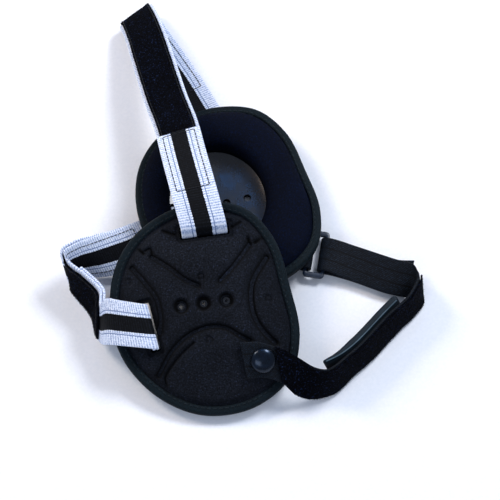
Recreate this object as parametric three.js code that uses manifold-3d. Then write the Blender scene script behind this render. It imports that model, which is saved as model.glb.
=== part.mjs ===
// Wrestling ear guard: two padded ear cups joined by a crown strap, a back strap and a chin strap.
// It lies on a table: the left cup has its outer face down, and the right cup leans on its lower end.
// Units are millimetres, +Z is up. The origin is on the flat of the left cup that rests on the table.
import * as THREE from 'three';
import * as BufferGeometryUtils from 'three/addons/utils/BufferGeometryUtils.js';
import Module from 'manifold-3d';

const wasm = await Module();
wasm.setup();

// Cup sizes
const cupWidth = 104;
const cupHeight = 118;
const cupDome = 13;
const flatShare = 0.42;
const domePower = 1.15;
const coverWall = 2.5;
const flangeWall = 1.5;
const shellWall = 1.8;
const shellShare = 0.8;
const seamGap = 0.3;
const bindingWidth = 5;
const bindingWall = 1;
const bindingRoom = 0.35;
const padBulge = 7;
const hollowWidth = 55;
const hollowHeight = 64;
const hollowShift = -5;
const ventSize = 4.4;
const ventSpacing = 12.3;
const grooveSize = 3;

// Where the cups lie
const rightCupTilt = THREE.MathUtils.degToRad(16.4);
const rightCupPlace = new THREE.Vector3(-11.5, -71, 19.75);
const leftCupTurn = THREE.MathUtils.degToRad(6);
const restOffset = 8;

// Strap sizes
const webbingWidth = 25;
const webbingWall = 1.5;
const pileWall = 1.2;
const pileMargin = 2;
const crownReach = 150;
const backReach = 60;
const chinWidth = 20;
const chinWall = 1.6;
const chinReach = 100;
const chinPadWall = 5.5;
const slotRoom = 1.1;
const strapClearance = 0.5;
const chinLift = 1.1;
const chinLeaveLift = 2.8;

// Hardware sizes
const snapSize = 13.6;
const snapHeight = 3.4;
const snapSeat = 0.7;
const buckleLength = 29;
const buckleDepth = 12;
const buckleBar = 2;
const tabLength = 6;
const barRoom = 1.85;

const around = 40;
const stepsPerSection = 3;

const foamFabric = new THREE.MeshStandardMaterial({ color: 0x15171c, roughness: 0.92, metalness: 0 });
const liningFabric = new THREE.MeshStandardMaterial({ color: 0x0a1224, roughness: 0.9, metalness: 0 });
const edgeTape = new THREE.MeshStandardMaterial({ color: 0x0e1a22, roughness: 0.85, metalness: 0 });
const hardPlastic = new THREE.MeshStandardMaterial({ color: 0x0a0c10, roughness: 0.3, metalness: 0 });
const whiteWebbing = new THREE.MeshStandardMaterial({ color: 0xe6ebf4, roughness: 0.8, metalness: 0 });
const blackPile = new THREE.MeshStandardMaterial({ color: 0x07090d, roughness: 1, metalness: 0 });
const darkWebbing = new THREE.MeshStandardMaterial({ color: 0x14181e, roughness: 0.85, metalness: 0 });
const foamPad = new THREE.MeshStandardMaterial({ color: 0x1c252c, roughness: 0.75, metalness: 0 });
const lacqueredMetal = new THREE.MeshStandardMaterial({ color: 0x101318, roughness: 0.25, metalness: 0.6 });

// The cup's outline, seen from outside the right cup: shares of half the width and half the height
const outlineRows = [
  { across: 0.00, up: 0.98 },
  { across: 0.44, up: 0.91 },
  { across: 0.74, up: 0.62 },
  { across: 0.90, up: 0.18 },
  { across: 1.00, up: -0.26 },
  { across: 0.90, up: -0.66 },
  { across: 0.52, up: -0.94 },
  { across: 0.00, up: -1.01 },
  { across: -0.47, up: -0.85 },
  { across: -0.84, up: -0.51 },
  { across: -0.99, up: -0.08 },
  { across: -0.94, up: 0.36 },
  { across: -0.73, up: 0.67 },
  { across: -0.36, up: 0.90 },
];

// Moulded grooves of the outer cover, in the same shares
const grooveRows = {
  valley: [
    [-0.69, 0.52], [-0.55, 0.44], [-0.10, 0.19], [0.01, 0.165], [0.125, 0.25], [0.45, 0.56], [0.50, 0.61],
  ],
  leftArc: [[-0.76, 0.34], [-0.62, 0.20], [-0.49, 0.04], [-0.445, -0.14], [-0.45, -0.26]],
  rightArc: [[0.65, 0.44], [0.51, 0.22], [0.49, 0.045], [0.53, -0.12], [0.62, -0.25], [0.74, -0.35]],
  arch: [
    [-0.47, -0.65], [-0.32, -0.425], [-0.135, -0.28], [0.05, -0.215], [0.22, -0.22], [0.385, -0.30],
    [0.47, -0.335],
  ],
};

// Rings of the moulded cover and of the shell under it, as shares of the way to the edge
const coverShares = [0.85, 0.72, 0.57, flatShare];
const shellShares = [shellShare, 0.62, flatShare];

// Rings of the pad's face, from the edge tape to the ear hollow: way across it and share of the bulge
const padRows = [
  { way: 0.66, bulge: 0.86 },
  { way: 0.42, bulge: 1 },
  { way: 0.16, bulge: 0.72 },
  { way: 0.02, bulge: 0.2 },
];

// Strap slots in the same shares, each between the two ends of the strap's width
const tailOffset = webbingWall + seamGap + pileWall + seamGap;
const innerTailOffset = -(webbingWall + seamGap);
const crownSlot = {
  middle: [-0.007, 0.722],
  angle: THREE.MathUtils.degToRad(8),
  low: 0,
  high: tailOffset + webbingWall,
};
const backSlot = {
  middle: [-0.556, -0.214],
  angle: THREE.MathUtils.degToRad(105),
  low: innerTailOffset,
  high: webbingWall,
};
const snapMiddle = [0.61, -0.51];
const chinAngle = THREE.MathUtils.degToRad(102);

function outlineCurve() {
  const points = outlineRows.map(({ across, up }) => {
    return new THREE.Vector3(across * cupWidth / 2, up * cupHeight / 2, 0);
  });
  return new THREE.CatmullRomCurve3(points, true, 'centripetal');
}

const outlineSamples = outlineCurve().getPoints(720).slice(0, 720).map((point) => ({
  angle: Math.atan2(point.y, point.x),
  radius: Math.hypot(point.x, point.y),
})).sort((a, b) => a.angle - b.angle);

// Distance from the cup's middle to its edge in one direction
function edgeRadius(angle) {
  const turned = THREE.MathUtils.euclideanModulo(angle + Math.PI, 2 * Math.PI) - Math.PI;
  const next = outlineSamples.findIndex((sample) => sample.angle >= turned);
  if (next <= 0) {
    return outlineSamples[0].radius;
  }
  const low = outlineSamples[next - 1];
  const high = outlineSamples[next];
  return THREE.MathUtils.mapLinear(turned, low.angle, high.angle, low.radius, high.radius);
}

// Height of the cover's outer face above the cup's edge plane, at a share of the way to the edge
function coverHeight(share) {
  const flange = seamGap / 2 + flangeWall;
  const past = Math.min(1, Math.max(0, (share - flatShare) / (1 - flatShare)));
  return flange + (cupDome - flange) * (1 - Math.pow(past, domePower));
}

function coverHeightAt(x, y) {
  return coverHeight(Math.hypot(x, y) / edgeRadius(Math.atan2(y, x)));
}

const shellTop = (share) => coverHeight(share) - coverWall - seamGap;

// A point on the cup in shares of its half sizes
const onOutlineShares = ([across, up]) => [across * cupWidth / 2, up * cupHeight / 2];

// A closed solid from rows of rings: each row gives a point for each direction round the cup.
// A row with one point closes the solid at the cup's middle, otherwise the last row meets the first.
function ringSolid(rows) {
  const positions = [];
  const indices = [];
  const starts = rows.map((row) => {
    const start = positions.length / 3;
    if (row.centre) {
      positions.push(0, 0, row.z);
    } else {
      for (let i = 0; i < around; i += 1) {
        const angle = 2 * Math.PI * i / around;
        positions.push(...row.at(angle));
      }
    }
    return start;
  });
  const joinRows = (a, b) => {
    for (let i = 0; i < around; i += 1) {
      const j = (i + 1) % around;
      if (rows[a].centre) {
        indices.push(starts[a], starts[b] + i, starts[b] + j);
      } else if (rows[b].centre) {
        indices.push(starts[a] + i, starts[b], starts[a] + j);
      } else {
        indices.push(starts[a] + i, starts[b] + i, starts[b] + j);
        indices.push(starts[a] + i, starts[b] + j, starts[a] + j);
      }
    }
  };
  for (let k = 0; k + 1 < rows.length; k += 1) {
    joinRows(k, k + 1);
  }
  if (!rows[0].centre) {
    joinRows(rows.length - 1, 0);
  }
  const geometry = new THREE.BufferGeometry();
  geometry.setAttribute('position', new THREE.Float32BufferAttribute(positions, 3));
  geometry.setIndex(indices);
  return geometry;
}

const ringAtShare = (share, height) => ({
  at: (angle) => {
    const radius = share * edgeRadius(angle);
    return [radius * Math.cos(angle), radius * Math.sin(angle), height];
  },
});

const ringAtInset = (inset, height) => ({
  at: (angle) => {
    const radius = edgeRadius(angle) - inset;
    return [radius * Math.cos(angle), radius * Math.sin(angle), height];
  },
});

function toSolid(geometry) {
  const plain = geometry.clone();
  plain.deleteAttribute('normal');
  plain.deleteAttribute('uv');
  const merged = BufferGeometryUtils.mergeVertices(plain, 1e-4);
  const vertProperties = new Float32Array(merged.attributes.position.array);
  const triVerts = new Uint32Array(merged.index.array);
  return new wasm.Manifold(new wasm.Mesh({ numProp: 3, vertProperties, triVerts }));
}

function toGeometry(solid) {
  const mesh = solid.getMesh();
  const geometry = new THREE.BufferGeometry();
  geometry.setAttribute('position', new THREE.Float32BufferAttribute(mesh.vertProperties, 3));
  geometry.setIndex(new THREE.Uint32BufferAttribute(mesh.triVerts, 1));
  return geometry;
}

// Vent holes in a row across the flat
function ventCuts() {
  return [-1, 0, 1].map((place) => {
    const drill = new THREE.CylinderGeometry(ventSize / 2, ventSize / 2, 4 * cupDome, 10);
    drill.rotateX(Math.PI / 2);
    drill.translate(place * ventSpacing, 0, 0);
    return toSolid(drill);
  });
}

// An opening that one strap with its layers passes through, from the inmost to the outmost offset
function slotCut(slot) {
  const depth = slot.high - slot.low + 2 * slotRoom;
  const opening = new THREE.BoxGeometry(webbingWidth + 2 * slotRoom, depth, 4 * cupDome);
  opening.translate(0, -(slot.low + slot.high) / 2, 0);
  opening.rotateZ(slot.angle);
  const [x, y] = onOutlineShares(slot.middle);
  opening.translate(x, y, 0);
  return toSolid(opening);
}

function grooveCut(rows) {
  const points = rows.map((row) => {
    const [x, y] = onOutlineShares(row);
    return new THREE.Vector3(x, y, coverHeightAt(x, y) + grooveSize / 8);
  });
  const section = new THREE.Shape();
  section.absarc(0, 0, grooveSize / 2, 0, 2 * Math.PI, false);
  const route = new THREE.CatmullRomCurve3(points);
  return toSolid(new THREE.ExtrudeGeometry(section, { steps: 9, extrudePath: route, curveSegments: 3 }));
}

function cutAll(geometry, cuts) {
  return toGeometry(cuts.reduce((solid, cut) => solid.subtract(cut), toSolid(geometry)));
}

function coverGeometry() {
  const flangeTop = seamGap / 2 + flangeWall;
  const flangeInset = bindingWidth + seamGap;
  const edgeInset = bindingWall + bindingRoom;
  const rows = [
    { centre: true, z: coverHeight(0) },
    ...coverShares.toReversed().map((share) => ringAtShare(share, coverHeight(share))),
    ringAtInset(flangeInset, flangeTop),
    ringAtInset(edgeInset, flangeTop),
    ringAtInset(edgeInset, seamGap / 2),
    ringAtInset(flangeInset, seamGap / 2),
    ...coverShares.map((share) => ringAtShare(share, coverHeight(share) - coverWall)),
    { centre: true, z: coverHeight(0) - coverWall },
  ];
  const cuts = [
    ...ventCuts(),
    slotCut(crownSlot),
    slotCut(backSlot),
    ...Object.values(grooveRows).map(grooveCut),
  ];
  return cutAll(ringSolid(rows), cuts);
}

function shellGeometry() {
  const rows = [
    { centre: true, z: shellTop(0) },
    ...shellShares.toReversed().map((share) => ringAtShare(share, shellTop(share))),
    ...shellShares.map((share) => ringAtShare(share, shellTop(share) - shellWall)),
    { centre: true, z: shellTop(0) - shellWall },
  ];
  const cuts = [...ventCuts(), slotCut(crownSlot), slotCut(backSlot)];
  return cutAll(ringSolid(rows), cuts);
}

// A ring of the pad, between the ear hollow (way 0) and the edge (way 1)
function padRing(way, height) {
  return {
    at: (angle) => {
      const radius = edgeRadius(angle);
      const outerX = radius * Math.cos(angle);
      const outerY = radius * Math.sin(angle);
      const innerX = hollowShift + hollowWidth / 2 * Math.cos(angle);
      const innerY = hollowHeight / 2 * Math.sin(angle);
      const x = THREE.MathUtils.lerp(innerX, outerX, way);
      const y = THREE.MathUtils.lerp(innerY, outerY, way);
      const share = Math.hypot(x, y) / edgeRadius(Math.atan2(y, x));
      return [x, y, typeof height === 'function' ? height(share) : height];
    },
  };
}

function padGeometry() {
  const flangeInset = bindingWidth + seamGap;
  const edgeInset = bindingWall + bindingRoom;
  const underShell = (share) => shellTop(Math.min(share, shellShare)) - shellWall - seamGap;
  const flangeTop = -seamGap / 2;
  const flangeLow = flangeTop - flangeWall;
  const rows = [
    padRing(0, underShell),
    padRing(0.25, underShell),
    padRing(0.5, (share) => Math.min(underShell(share), underShell(shellShare))),
    ringAtInset(flangeInset, flangeTop),
    ringAtInset(edgeInset, flangeTop),
    ringAtInset(edgeInset, flangeLow),
    ringAtInset(flangeInset, flangeLow),
    ...padRows.map(({ way, bulge }) => padRing(way, -padBulge * bulge)),
  ];
  return ringSolid(rows);
}

// Edge tape folded over the rims of cover and pad
function bindingGeometry() {
  const inner = seamGap / 2 + flangeWall + bindingRoom;
  const outer = inner + bindingWall;
  const rows = [
    ringAtInset(bindingWidth, inner),
    ringAtInset(bindingWidth, outer),
    ringAtInset(bindingWall, outer),
    ringAtInset(0, inner * 0.5),
    ringAtInset(0, -inner * 0.5),
    ringAtInset(bindingWall, -outer),
    ringAtInset(bindingWidth, -outer),
    ringAtInset(bindingWidth, -inner),
    ringAtInset(bindingWall, -inner),
    ringAtInset(bindingWall, inner),
  ];
  return ringSolid(rows);
}

// The left cup is the right cup's mirror image
function mirrored(geometry) {
  const copy = geometry.clone();
  copy.scale(1, 1, -1);
  const index = copy.index.array;
  for (let i = 0; i < index.length; i += 3) {
    const held = index[i];
    index[i] = index[i + 1];
    index[i + 1] = held;
  }
  return copy;
}

function named(name, geometry, material) {
  const mesh = new THREE.Mesh(geometry, material);
  mesh.name = name;
  return mesh;
}

const rightCup = new THREE.Group();
rightCup.rotation.x = rightCupTilt;
rightCup.position.copy(rightCupPlace);
rightCup.updateMatrix();

const leftCup = new THREE.Group();
leftCup.rotation.z = leftCupTurn;
leftCup.position.z = cupDome;
leftCup.updateMatrix();

const cups = [
  { side: 'right', group: rightCup, shape: (geometry) => geometry, outward: 1 },
  { side: 'left', group: leftCup, shape: mirrored, outward: -1 },
];
for (const cup of cups) {
  cup.group.add(named(`${cup.side}_cup_cover`, cup.shape(coverGeometry()), foamFabric));
  cup.group.add(named(`${cup.side}_cup_shell`, cup.shape(shellGeometry()), hardPlastic));
  cup.group.add(named(`${cup.side}_cup_pad`, cup.shape(padGeometry()), liningFabric));
  cup.group.add(named(`${cup.side}_cup_binding`, cup.shape(bindingGeometry()), edgeTape));
}

// A place on a cup in the part's frame: x and y on the cup, lift above its outer face
function onCup(cup, x, y, lift) {
  const z = cup.outward * (coverHeightAt(x, y) + lift);
  return new THREE.Vector3(x, y, z).applyMatrix4(cup.group.matrix);
}

// One section of a strap where it passes a cup: from one end of its width to the other
function cupSection(cup, [x, y], angle, width, lift) {
  const half = width / 2;
  const low = onCup(cup, x - half * Math.cos(angle), y - half * Math.sin(angle), 0);
  const high = onCup(cup, x + half * Math.cos(angle), y + half * Math.sin(angle), 0);
  const normal = new THREE.Vector3(0, 0, cup.outward).transformDirection(cup.group.matrix);
  const across = high.clone().sub(low).normalize();
  const middle = low.clone().add(high).multiplyScalar(0.5).addScaledVector(normal, lift);
  return { edge: middle.addScaledVector(across, -half), across };
}

// Free sections: places as shares of a reach from an anchor, and the direction of the width
function freeSections(anchor, reach, rows) {
  return rows.map((row) => ({
    edge: new THREE.Vector3(row.x, row.y, row.z).multiplyScalar(reach).add(anchor),
    across: new THREE.Vector3(row.acrossX, row.acrossY, row.acrossZ).normalize(),
  }));
}

// A strap's path: a smooth edge line with the direction of the width along it
function strapPath(sections, width, side) {
  const edges = new THREE.CatmullRomCurve3(sections.map((section) => section.edge), false, 'centripetal');
  const widths = new THREE.CatmullRomCurve3(sections.map((section) => section.across), false, 'centripetal');
  const last = sections.length - 1;
  const frameAt = (place) => {
    const t = place / last;
    const across = widths.getPoint(t).normalize();
    const along = edges.getTangent(t);
    const out = new THREE.Vector3().crossVectors(across, along).multiplyScalar(side).normalize();
    return { edge: edges.getPoint(t), across, out };
  };
  return { frameAt, last, width };
}

// One layer of a strap as a closed solid, from one section to another, between two offsets
function strapLayer(path, { from, to, low, high, margin = 0 }) {
  const count = Math.max(2, Math.round((to - from) * stepsPerSection));
  const positions = [];
  const indices = [];
  for (let i = 0; i <= count; i += 1) {
    const { edge, across, out } = path.frameAt(THREE.MathUtils.lerp(from, to, i / count));
    const farSide = path.width - margin;
    for (const [way, offset] of [[margin, low], [farSide, low], [farSide, high], [margin, high]]) {
      const corner = edge.clone().addScaledVector(across, way).addScaledVector(out, offset);
      positions.push(corner.x, corner.y, corner.z);
    }
  }
  for (let i = 0; i < count; i += 1) {
    for (let k = 0; k < 4; k += 1) {
      const a = 4 * i + k;
      const b = 4 * i + (k + 1) % 4;
      if (k === 2) {
        indices.push(a, a + 4, b, a + 4, b + 4, b);
      } else {
        indices.push(a, a + 4, b + 4, a, b + 4, b);
      }
    }
  }
  const end = 4 * count;
  indices.push(0, 1, 2, 0, 2, 3, end, end + 2, end + 1, end, end + 3, end + 2);
  return outward(positions, indices);
}

// Turns the faces round if the solid's volume comes out negative
function outward(positions, indices) {
  let volume = 0;
  const corner = (i) => new THREE.Vector3().fromArray(positions, 3 * indices[i]);
  for (let i = 0; i < indices.length; i += 3) {
    volume += corner(i).dot(corner(i + 1).cross(corner(i + 2)));
  }
  const ordered = volume < 0 ? indices.toReversed() : indices;
  const geometry = new THREE.BufferGeometry();
  geometry.setAttribute('position', new THREE.Float32BufferAttribute(positions, 3));
  geometry.setIndex(ordered);
  return geometry;
}

const [right, left] = cups;
const slotDepth = coverWall;

// Crown strap: from the right cup's top slot, over the top and back under to the left cup's top slot
const crownMiddle = onOutlineShares(crownSlot.middle);
const crownOn = (cup, lift) => cupSection(cup, crownMiddle, crownSlot.angle, webbingWidth, lift);
const crownRight = crownOn(right, strapClearance);
const crownLeft = crownOn(left, strapClearance);
const crownNearRows = [
  { x: -0.030, y: 0.101, z: 0.030, acrossX: 0.97, acrossY: 0.20, acrossZ: 0.06 },
  { x: -0.068, y: 0.256, z: 0.006, acrossX: 0.95, acrossY: 0.28, acrossZ: 0.08 },
  { x: -0.108, y: 0.424, z: -0.029, acrossX: 0.96, acrossY: 0.26, acrossZ: 0.08 },
  { x: -0.150, y: 0.556, z: -0.066, acrossX: 0.96, acrossY: 0.26, acrossZ: 0.09 },
  { x: -0.208, y: 0.765, z: -0.112, acrossX: 0.92, acrossY: 0.36, acrossZ: 0.12 },
  { x: -0.242, y: 0.904, z: -0.155, acrossX: 0.82, acrossY: 0.55, acrossZ: 0.12 },
];
const crownFarRows = [
  { x: -0.320, y: 0.515, z: 0.012, acrossX: 0.76, acrossY: 0.65, acrossZ: 0.03 },
  { x: -0.309, y: 0.496, z: -0.006, acrossX: 0.78, acrossY: 0.62, acrossZ: 0.00 },
  { x: -0.279, y: 0.446, z: -0.008, acrossX: 0.84, acrossY: 0.54, acrossZ: 0.00 },
  { x: -0.146, y: 0.233, z: -0.008, acrossX: 0.86, acrossY: 0.50, acrossZ: 0.00 },
  { x: -0.061, y: 0.085, z: -0.015, acrossX: 0.90, acrossY: 0.42, acrossZ: 0.00 },
];
const crownPath = strapPath([
  crownOn(right, -slotDepth),
  crownRight,
  ...freeSections(crownRight.edge, crownReach, crownNearRows),
  ...freeSections(crownLeft.edge, crownReach, crownFarRows),
  crownLeft,
  crownOn(left, -slotDepth),
], webbingWidth, 1);

// Back strap: from the right cup's left slot, round behind the head to the left cup's left slot
const backMiddle = onOutlineShares(backSlot.middle);
const backOn = (cup, lift) => cupSection(cup, backMiddle, backSlot.angle, webbingWidth, lift);
const backRight = backOn(right, strapClearance - innerTailOffset);
const backLeft = backOn(left, strapClearance);
const backNearRows = [
  { x: -0.370, y: 0.062, z: -0.050, acrossX: -0.10, acrossY: 0.93, acrossZ: 0.35 },
  { x: -0.515, y: 0.187, z: -0.290, acrossX: 0.06, acrossY: 0.58, acrossZ: 0.80 },
  { x: -0.598, y: 0.448, z: -0.363, acrossX: 0.20, acrossY: 0.36, acrossZ: 0.91 },
  { x: -0.738, y: 0.645, z: -0.378, acrossX: 0.15, acrossY: 0.28, acrossZ: 0.95 },
  { x: -0.787, y: 0.720, z: -0.376, acrossX: -0.05, acrossY: 0.34, acrossZ: 0.93 },
];
const backFarRows = [
  { x: -0.990, y: -0.378, z: 0.010, acrossX: -0.25, acrossY: 0.32, acrossZ: 0.91 },
  { x: -0.900, y: -0.345, z: 0.010, acrossX: -0.28, acrossY: 0.42, acrossZ: 0.86 },
  { x: -0.717, y: -0.328, z: 0.020, acrossX: -0.38, acrossY: 0.62, acrossZ: 0.68 },
  { x: -0.450, y: -0.253, z: 0.042, acrossX: -0.46, acrossY: 0.80, acrossZ: 0.38 },
  { x: -0.250, y: -0.145, z: 0.044, acrossX: -0.42, acrossY: 0.89, acrossZ: 0.12 },
];
const backPath = strapPath([
  backOn(right, -slotDepth),
  backRight,
  ...freeSections(backRight.edge, backReach, backNearRows),
  ...freeSections(backLeft.edge, backReach, backFarRows),
  backLeft,
  backOn(left, -slotDepth),
], webbingWidth, 1);

// Chin strap: from the snap on the right cup, round to the buckle at the left cup, and back as a tail
const [snapX, snapY] = onOutlineShares(snapMiddle);
const chinOn = (shiftX, shiftY, lift) => cupSection(
  right,
  [snapX + shiftX * chinWidth, snapY + shiftY * chinWidth],
  chinAngle,
  chinWidth,
  lift,
);
const chinLeave = chinOn(0.39, -0.12, chinLeaveLift);
const chinAnchor = chinOn(0.26, -0.09, chinLeaveLift).edge;
const chinRows = [
  { x: 0.093, y: -0.040, z: -0.069, acrossX: 0.16, acrossY: 0.75, acrossZ: 0.64 },
  { x: 0.188, y: -0.045, z: -0.119, acrossX: 0.08, acrossY: 0.56, acrossZ: 0.83 },
  { x: 0.309, y: -0.006, z: -0.131, acrossX: -0.20, acrossY: 0.28, acrossZ: 0.93 },
  { x: 0.410, y: 0.095, z: -0.131, acrossX: -0.30, acrossY: 0.05, acrossZ: 0.95 },
  { x: 0.506, y: 0.180, z: -0.131, acrossX: -0.30, acrossY: 0.05, acrossZ: 0.95 },
  { x: 0.662, y: 0.352, z: -0.131, acrossX: -0.30, acrossY: 0.05, acrossZ: 0.95 },
  { x: 0.773, y: 0.466, z: -0.131, acrossX: -0.28, acrossY: 0.02, acrossZ: 0.95 },
  { x: 0.806, y: 0.520, z: -0.129, acrossX: -0.12, acrossY: 0.36, acrossZ: 0.92 },
  { x: 0.760, y: 0.530, z: -0.115, acrossX: 0.05, acrossY: 0.78, acrossZ: 0.62 },
  { x: 0.648, y: 0.547, z: -0.097, acrossX: 0.17, acrossY: 0.87, acrossZ: 0.44 },
  { x: 0.420, y: 0.634, z: -0.089, acrossX: 0.19, acrossY: 0.95, acrossZ: 0.20 },
  { x: 0.320, y: 0.672, z: -0.071, acrossX: 0.17, acrossY: 0.98, acrossZ: 0.08 },
];
const chinTailRows = [
  { x: 0.320, y: 0.677, z: -0.133, acrossX: 0.17, acrossY: 0.98, acrossZ: 0.08 },
  { x: 0.425, y: 0.645, z: -0.133, acrossX: 0.19, acrossY: 0.95, acrossZ: 0.20 },
  { x: 0.653, y: 0.565, z: -0.137, acrossX: 0.17, acrossY: 0.87, acrossZ: 0.44 },
  { x: 0.738, y: 0.560, z: -0.133, acrossX: 0.22, acrossY: 0.87, acrossZ: 0.40 },
];

// The buckle's outer bar, which the chin strap turns round
const barRow = { x: 0.268, y: 0.690, z: -0.102, acrossX: 0.16, acrossY: 0.985, acrossZ: 0.03 };
const [bar] = freeSections(chinAnchor, chinReach, [barRow]);
const turnRadius = barRoom + chinWall;
const barUp = new THREE.Vector3(0, 0, 1).addScaledVector(bar.across, -bar.across.z).normalize();
const barAlong = new THREE.Vector3().crossVectors(bar.across, barUp).normalize();
function barTurn(angle) {
  const edge = bar.edge.clone();
  edge.addScaledVector(barUp, turnRadius * Math.cos(angle));
  edge.addScaledVector(barAlong, -turnRadius * Math.sin(angle));
  return { edge, across: bar.across.clone() };
}
const chinPath = strapPath([
  chinOn(-0.52, -0.02, chinLift),
  chinOn(0, 0, chinLift),
  chinLeave,
  ...freeSections(chinAnchor, chinReach, chinRows),
  ...[0, 0.25, 0.5, 0.75, 1].map((turn) => barTurn(turn * Math.PI)),
  ...freeSections(chinAnchor, chinReach, chinTailRows),
], chinWidth, -1);

const chinPadRows = [
  { x: 0.312, y: 0.058, z: -0.122, acrossX: -0.28, acrossY: 0.10, acrossZ: 0.95 },
  { x: 0.420, y: 0.125, z: -0.122, acrossX: -0.30, acrossY: 0.05, acrossZ: 0.95 },
  { x: 0.498, y: 0.190, z: -0.122, acrossX: -0.30, acrossY: 0.05, acrossZ: 0.95 },
  { x: 0.654, y: 0.360, z: -0.122, acrossX: -0.30, acrossY: 0.05, acrossZ: 0.95 },
  { x: 0.735, y: 0.444, z: -0.122, acrossX: -0.30, acrossY: 0.05, acrossZ: 0.95 },
];
const chinPadPath = strapPath(freeSections(chinAnchor, chinReach, chinPadRows), chinWidth, -1);

// Strap tab of the left cup, folded round the buckle's inner bar
const innerBar = bar.edge.clone().addScaledVector(barAlong, -buckleDepth + buckleBar);
const tabTurn = (angle) => {
  const edge = innerBar.clone();
  edge.addScaledVector(barUp, turnRadius * Math.cos(angle));
  edge.addScaledVector(barAlong, turnRadius * Math.sin(angle));
  return { edge, across: bar.across.clone() };
};
const tabLift = chinWall + seamGap;
const tabEnd = (lift) => {
  const edge = innerBar.clone();
  edge.addScaledVector(barUp, lift);
  edge.addScaledVector(barAlong, -tabLength);
  return { edge, across: bar.across.clone() };
};
const tabPath = strapPath([
  tabEnd(tabLift),
  ...[0, 0.25, 0.5, 0.75, 1].map((turn) => tabTurn(turn * Math.PI)),
  tabEnd(-tabLift),
], chinWidth, 1);

function frameOf(xAxis, yAxis, origin) {
  const zAxis = new THREE.Vector3().crossVectors(xAxis, yAxis).normalize();
  const trueY = new THREE.Vector3().crossVectors(zAxis, xAxis);
  return new THREE.Matrix4().makeBasis(xAxis, trueY, zAxis).setPosition(origin);
}

// A flat plastic ring with two bars
function buckleGeometry() {
  const halfLength = buckleLength / 2;
  const halfDepth = buckleDepth / 2;
  const corner = buckleBar;
  const rim = new THREE.Shape();
  rim.moveTo(-halfLength + corner, -halfDepth);
  rim.lineTo(halfLength - corner, -halfDepth);
  rim.absarc(halfLength - corner, -halfDepth + corner, corner, -Math.PI / 2, 0, false);
  rim.absarc(halfLength - corner, halfDepth - corner, corner, 0, Math.PI / 2, false);
  rim.absarc(-halfLength + corner, halfDepth - corner, corner, Math.PI / 2, Math.PI, false);
  rim.absarc(-halfLength + corner, -halfDepth + corner, corner, Math.PI, 1.5 * Math.PI, false);
  const hole = new THREE.Path();
  const endWidth = (buckleLength - chinWidth) / 2 - slotRoom;
  const holeLength = halfLength - endWidth;
  const holeDepth = halfDepth - buckleBar;
  hole.moveTo(-holeLength, -holeDepth);
  hole.lineTo(-holeLength, holeDepth);
  hole.lineTo(holeLength, holeDepth);
  hole.lineTo(holeLength, -holeDepth);
  hole.closePath();
  rim.holes.push(hole);
  const geometry = new THREE.ExtrudeGeometry(rim, { depth: buckleBar, bevelEnabled: false, curveSegments: 3 });
  geometry.translate(0, 0, -buckleBar / 2);
  const middle = bar.edge.clone().addScaledVector(bar.across, chinWidth / 2);
  middle.addScaledVector(barAlong, -(buckleDepth - buckleBar) / 2);
  geometry.applyMatrix4(frameOf(bar.across, barAlong, middle));
  return geometry;
}

// Domed cap of the press snap, on the strap's end
function snapGeometry() {
  const radius = snapSize / 2;
  const profile = [new THREE.Vector2(0, 0), new THREE.Vector2(radius * 0.94, 0)];
  const rings = 5;
  for (let i = 0; i < rings; i += 1) {
    const angle = (0.12 + 0.88 * i / rings) * Math.PI / 2;
    profile.push(new THREE.Vector2(radius * Math.cos(angle), snapHeight * Math.sin(angle)));
  }
  profile.push(new THREE.Vector2(0, snapHeight));
  const geometry = new THREE.LatheGeometry(profile, 20);
  const seat = chinPath.frameAt(1);
  const origin = seat.edge.clone().addScaledVector(seat.across, chinWidth / 2);
  origin.addScaledVector(seat.out, chinWall + snapSeat);
  geometry.rotateX(Math.PI / 2);
  const along = new THREE.Vector3().crossVectors(seat.across, seat.out);
  geometry.applyMatrix4(frameOf(along, seat.across, origin));
  return geometry;
}

const pileLow = webbingWall + seamGap;
const pileLayer = { low: pileLow, high: pileLow + pileWall, margin: pileMargin };
const tailLayer = { low: tailOffset, high: tailOffset + webbingWall };
const mainLayer = { low: 0, high: webbingWall };
const chinMainLayer = { low: 0, high: chinWall };
const chinPileLow = chinWall + seamGap;
const chinPileLayer = { low: chinPileLow, high: chinPileLow + pileWall };
const innerTailLayer = { low: innerTailOffset, high: -seamGap };

// Each strap layer runs between two places, counted in sections along its path
const straps = [
  ['crown_strap', crownPath, { from: 0, to: crownPath.last, ...mainLayer }, whiteWebbing],
  ['crown_pile', crownPath, { from: 8 / 3, to: 34 / 3, ...pileLayer }, blackPile],
  ['crown_tail', crownPath, { from: 0, to: 11 / 3, ...tailLayer }, whiteWebbing],
  ['back_strap', backPath, { from: 0, to: backPath.last, ...mainLayer }, whiteWebbing],
  ['back_pile', backPath, { from: 3, to: 32 / 3, ...pileLayer }, blackPile],
  ['back_outer_tail', backPath, { from: 19 / 3, to: 32 / 3, ...tailLayer }, whiteWebbing],
  ['back_inner_tail', backPath, { from: 0, to: 16 / 3, ...innerTailLayer }, whiteWebbing],
  ['chin_strap', chinPath, { from: 0, to: chinPath.last, ...chinMainLayer }, darkWebbing],
  ['chin_pile', chinPath, { from: 2, to: 10, ...chinPileLayer }, blackPile],
  ['chin_pad', chinPadPath, { from: 0, to: chinPadPath.last, low: -chinPadWall, high: 0 }, foamPad],
  ['buckle_tab', tabPath, { from: 0, to: tabPath.last, ...chinMainLayer }, darkWebbing],
];

const part = new THREE.Group();
part.position.y = restOffset;
part.add(rightCup, leftCup);
for (const [name, path, layer, material] of straps) {
  part.add(named(name, strapLayer(path, layer), material));
}
part.add(named('buckle', buckleGeometry(), hardPlastic));
part.add(named('snap_cap', snapGeometry(), lacqueredMetal));

export default part;
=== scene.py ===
# Wrestling ear guard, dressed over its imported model. Lengths are worked out in millimetres
# and turned to metres where a mesh is made.
import math

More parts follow.
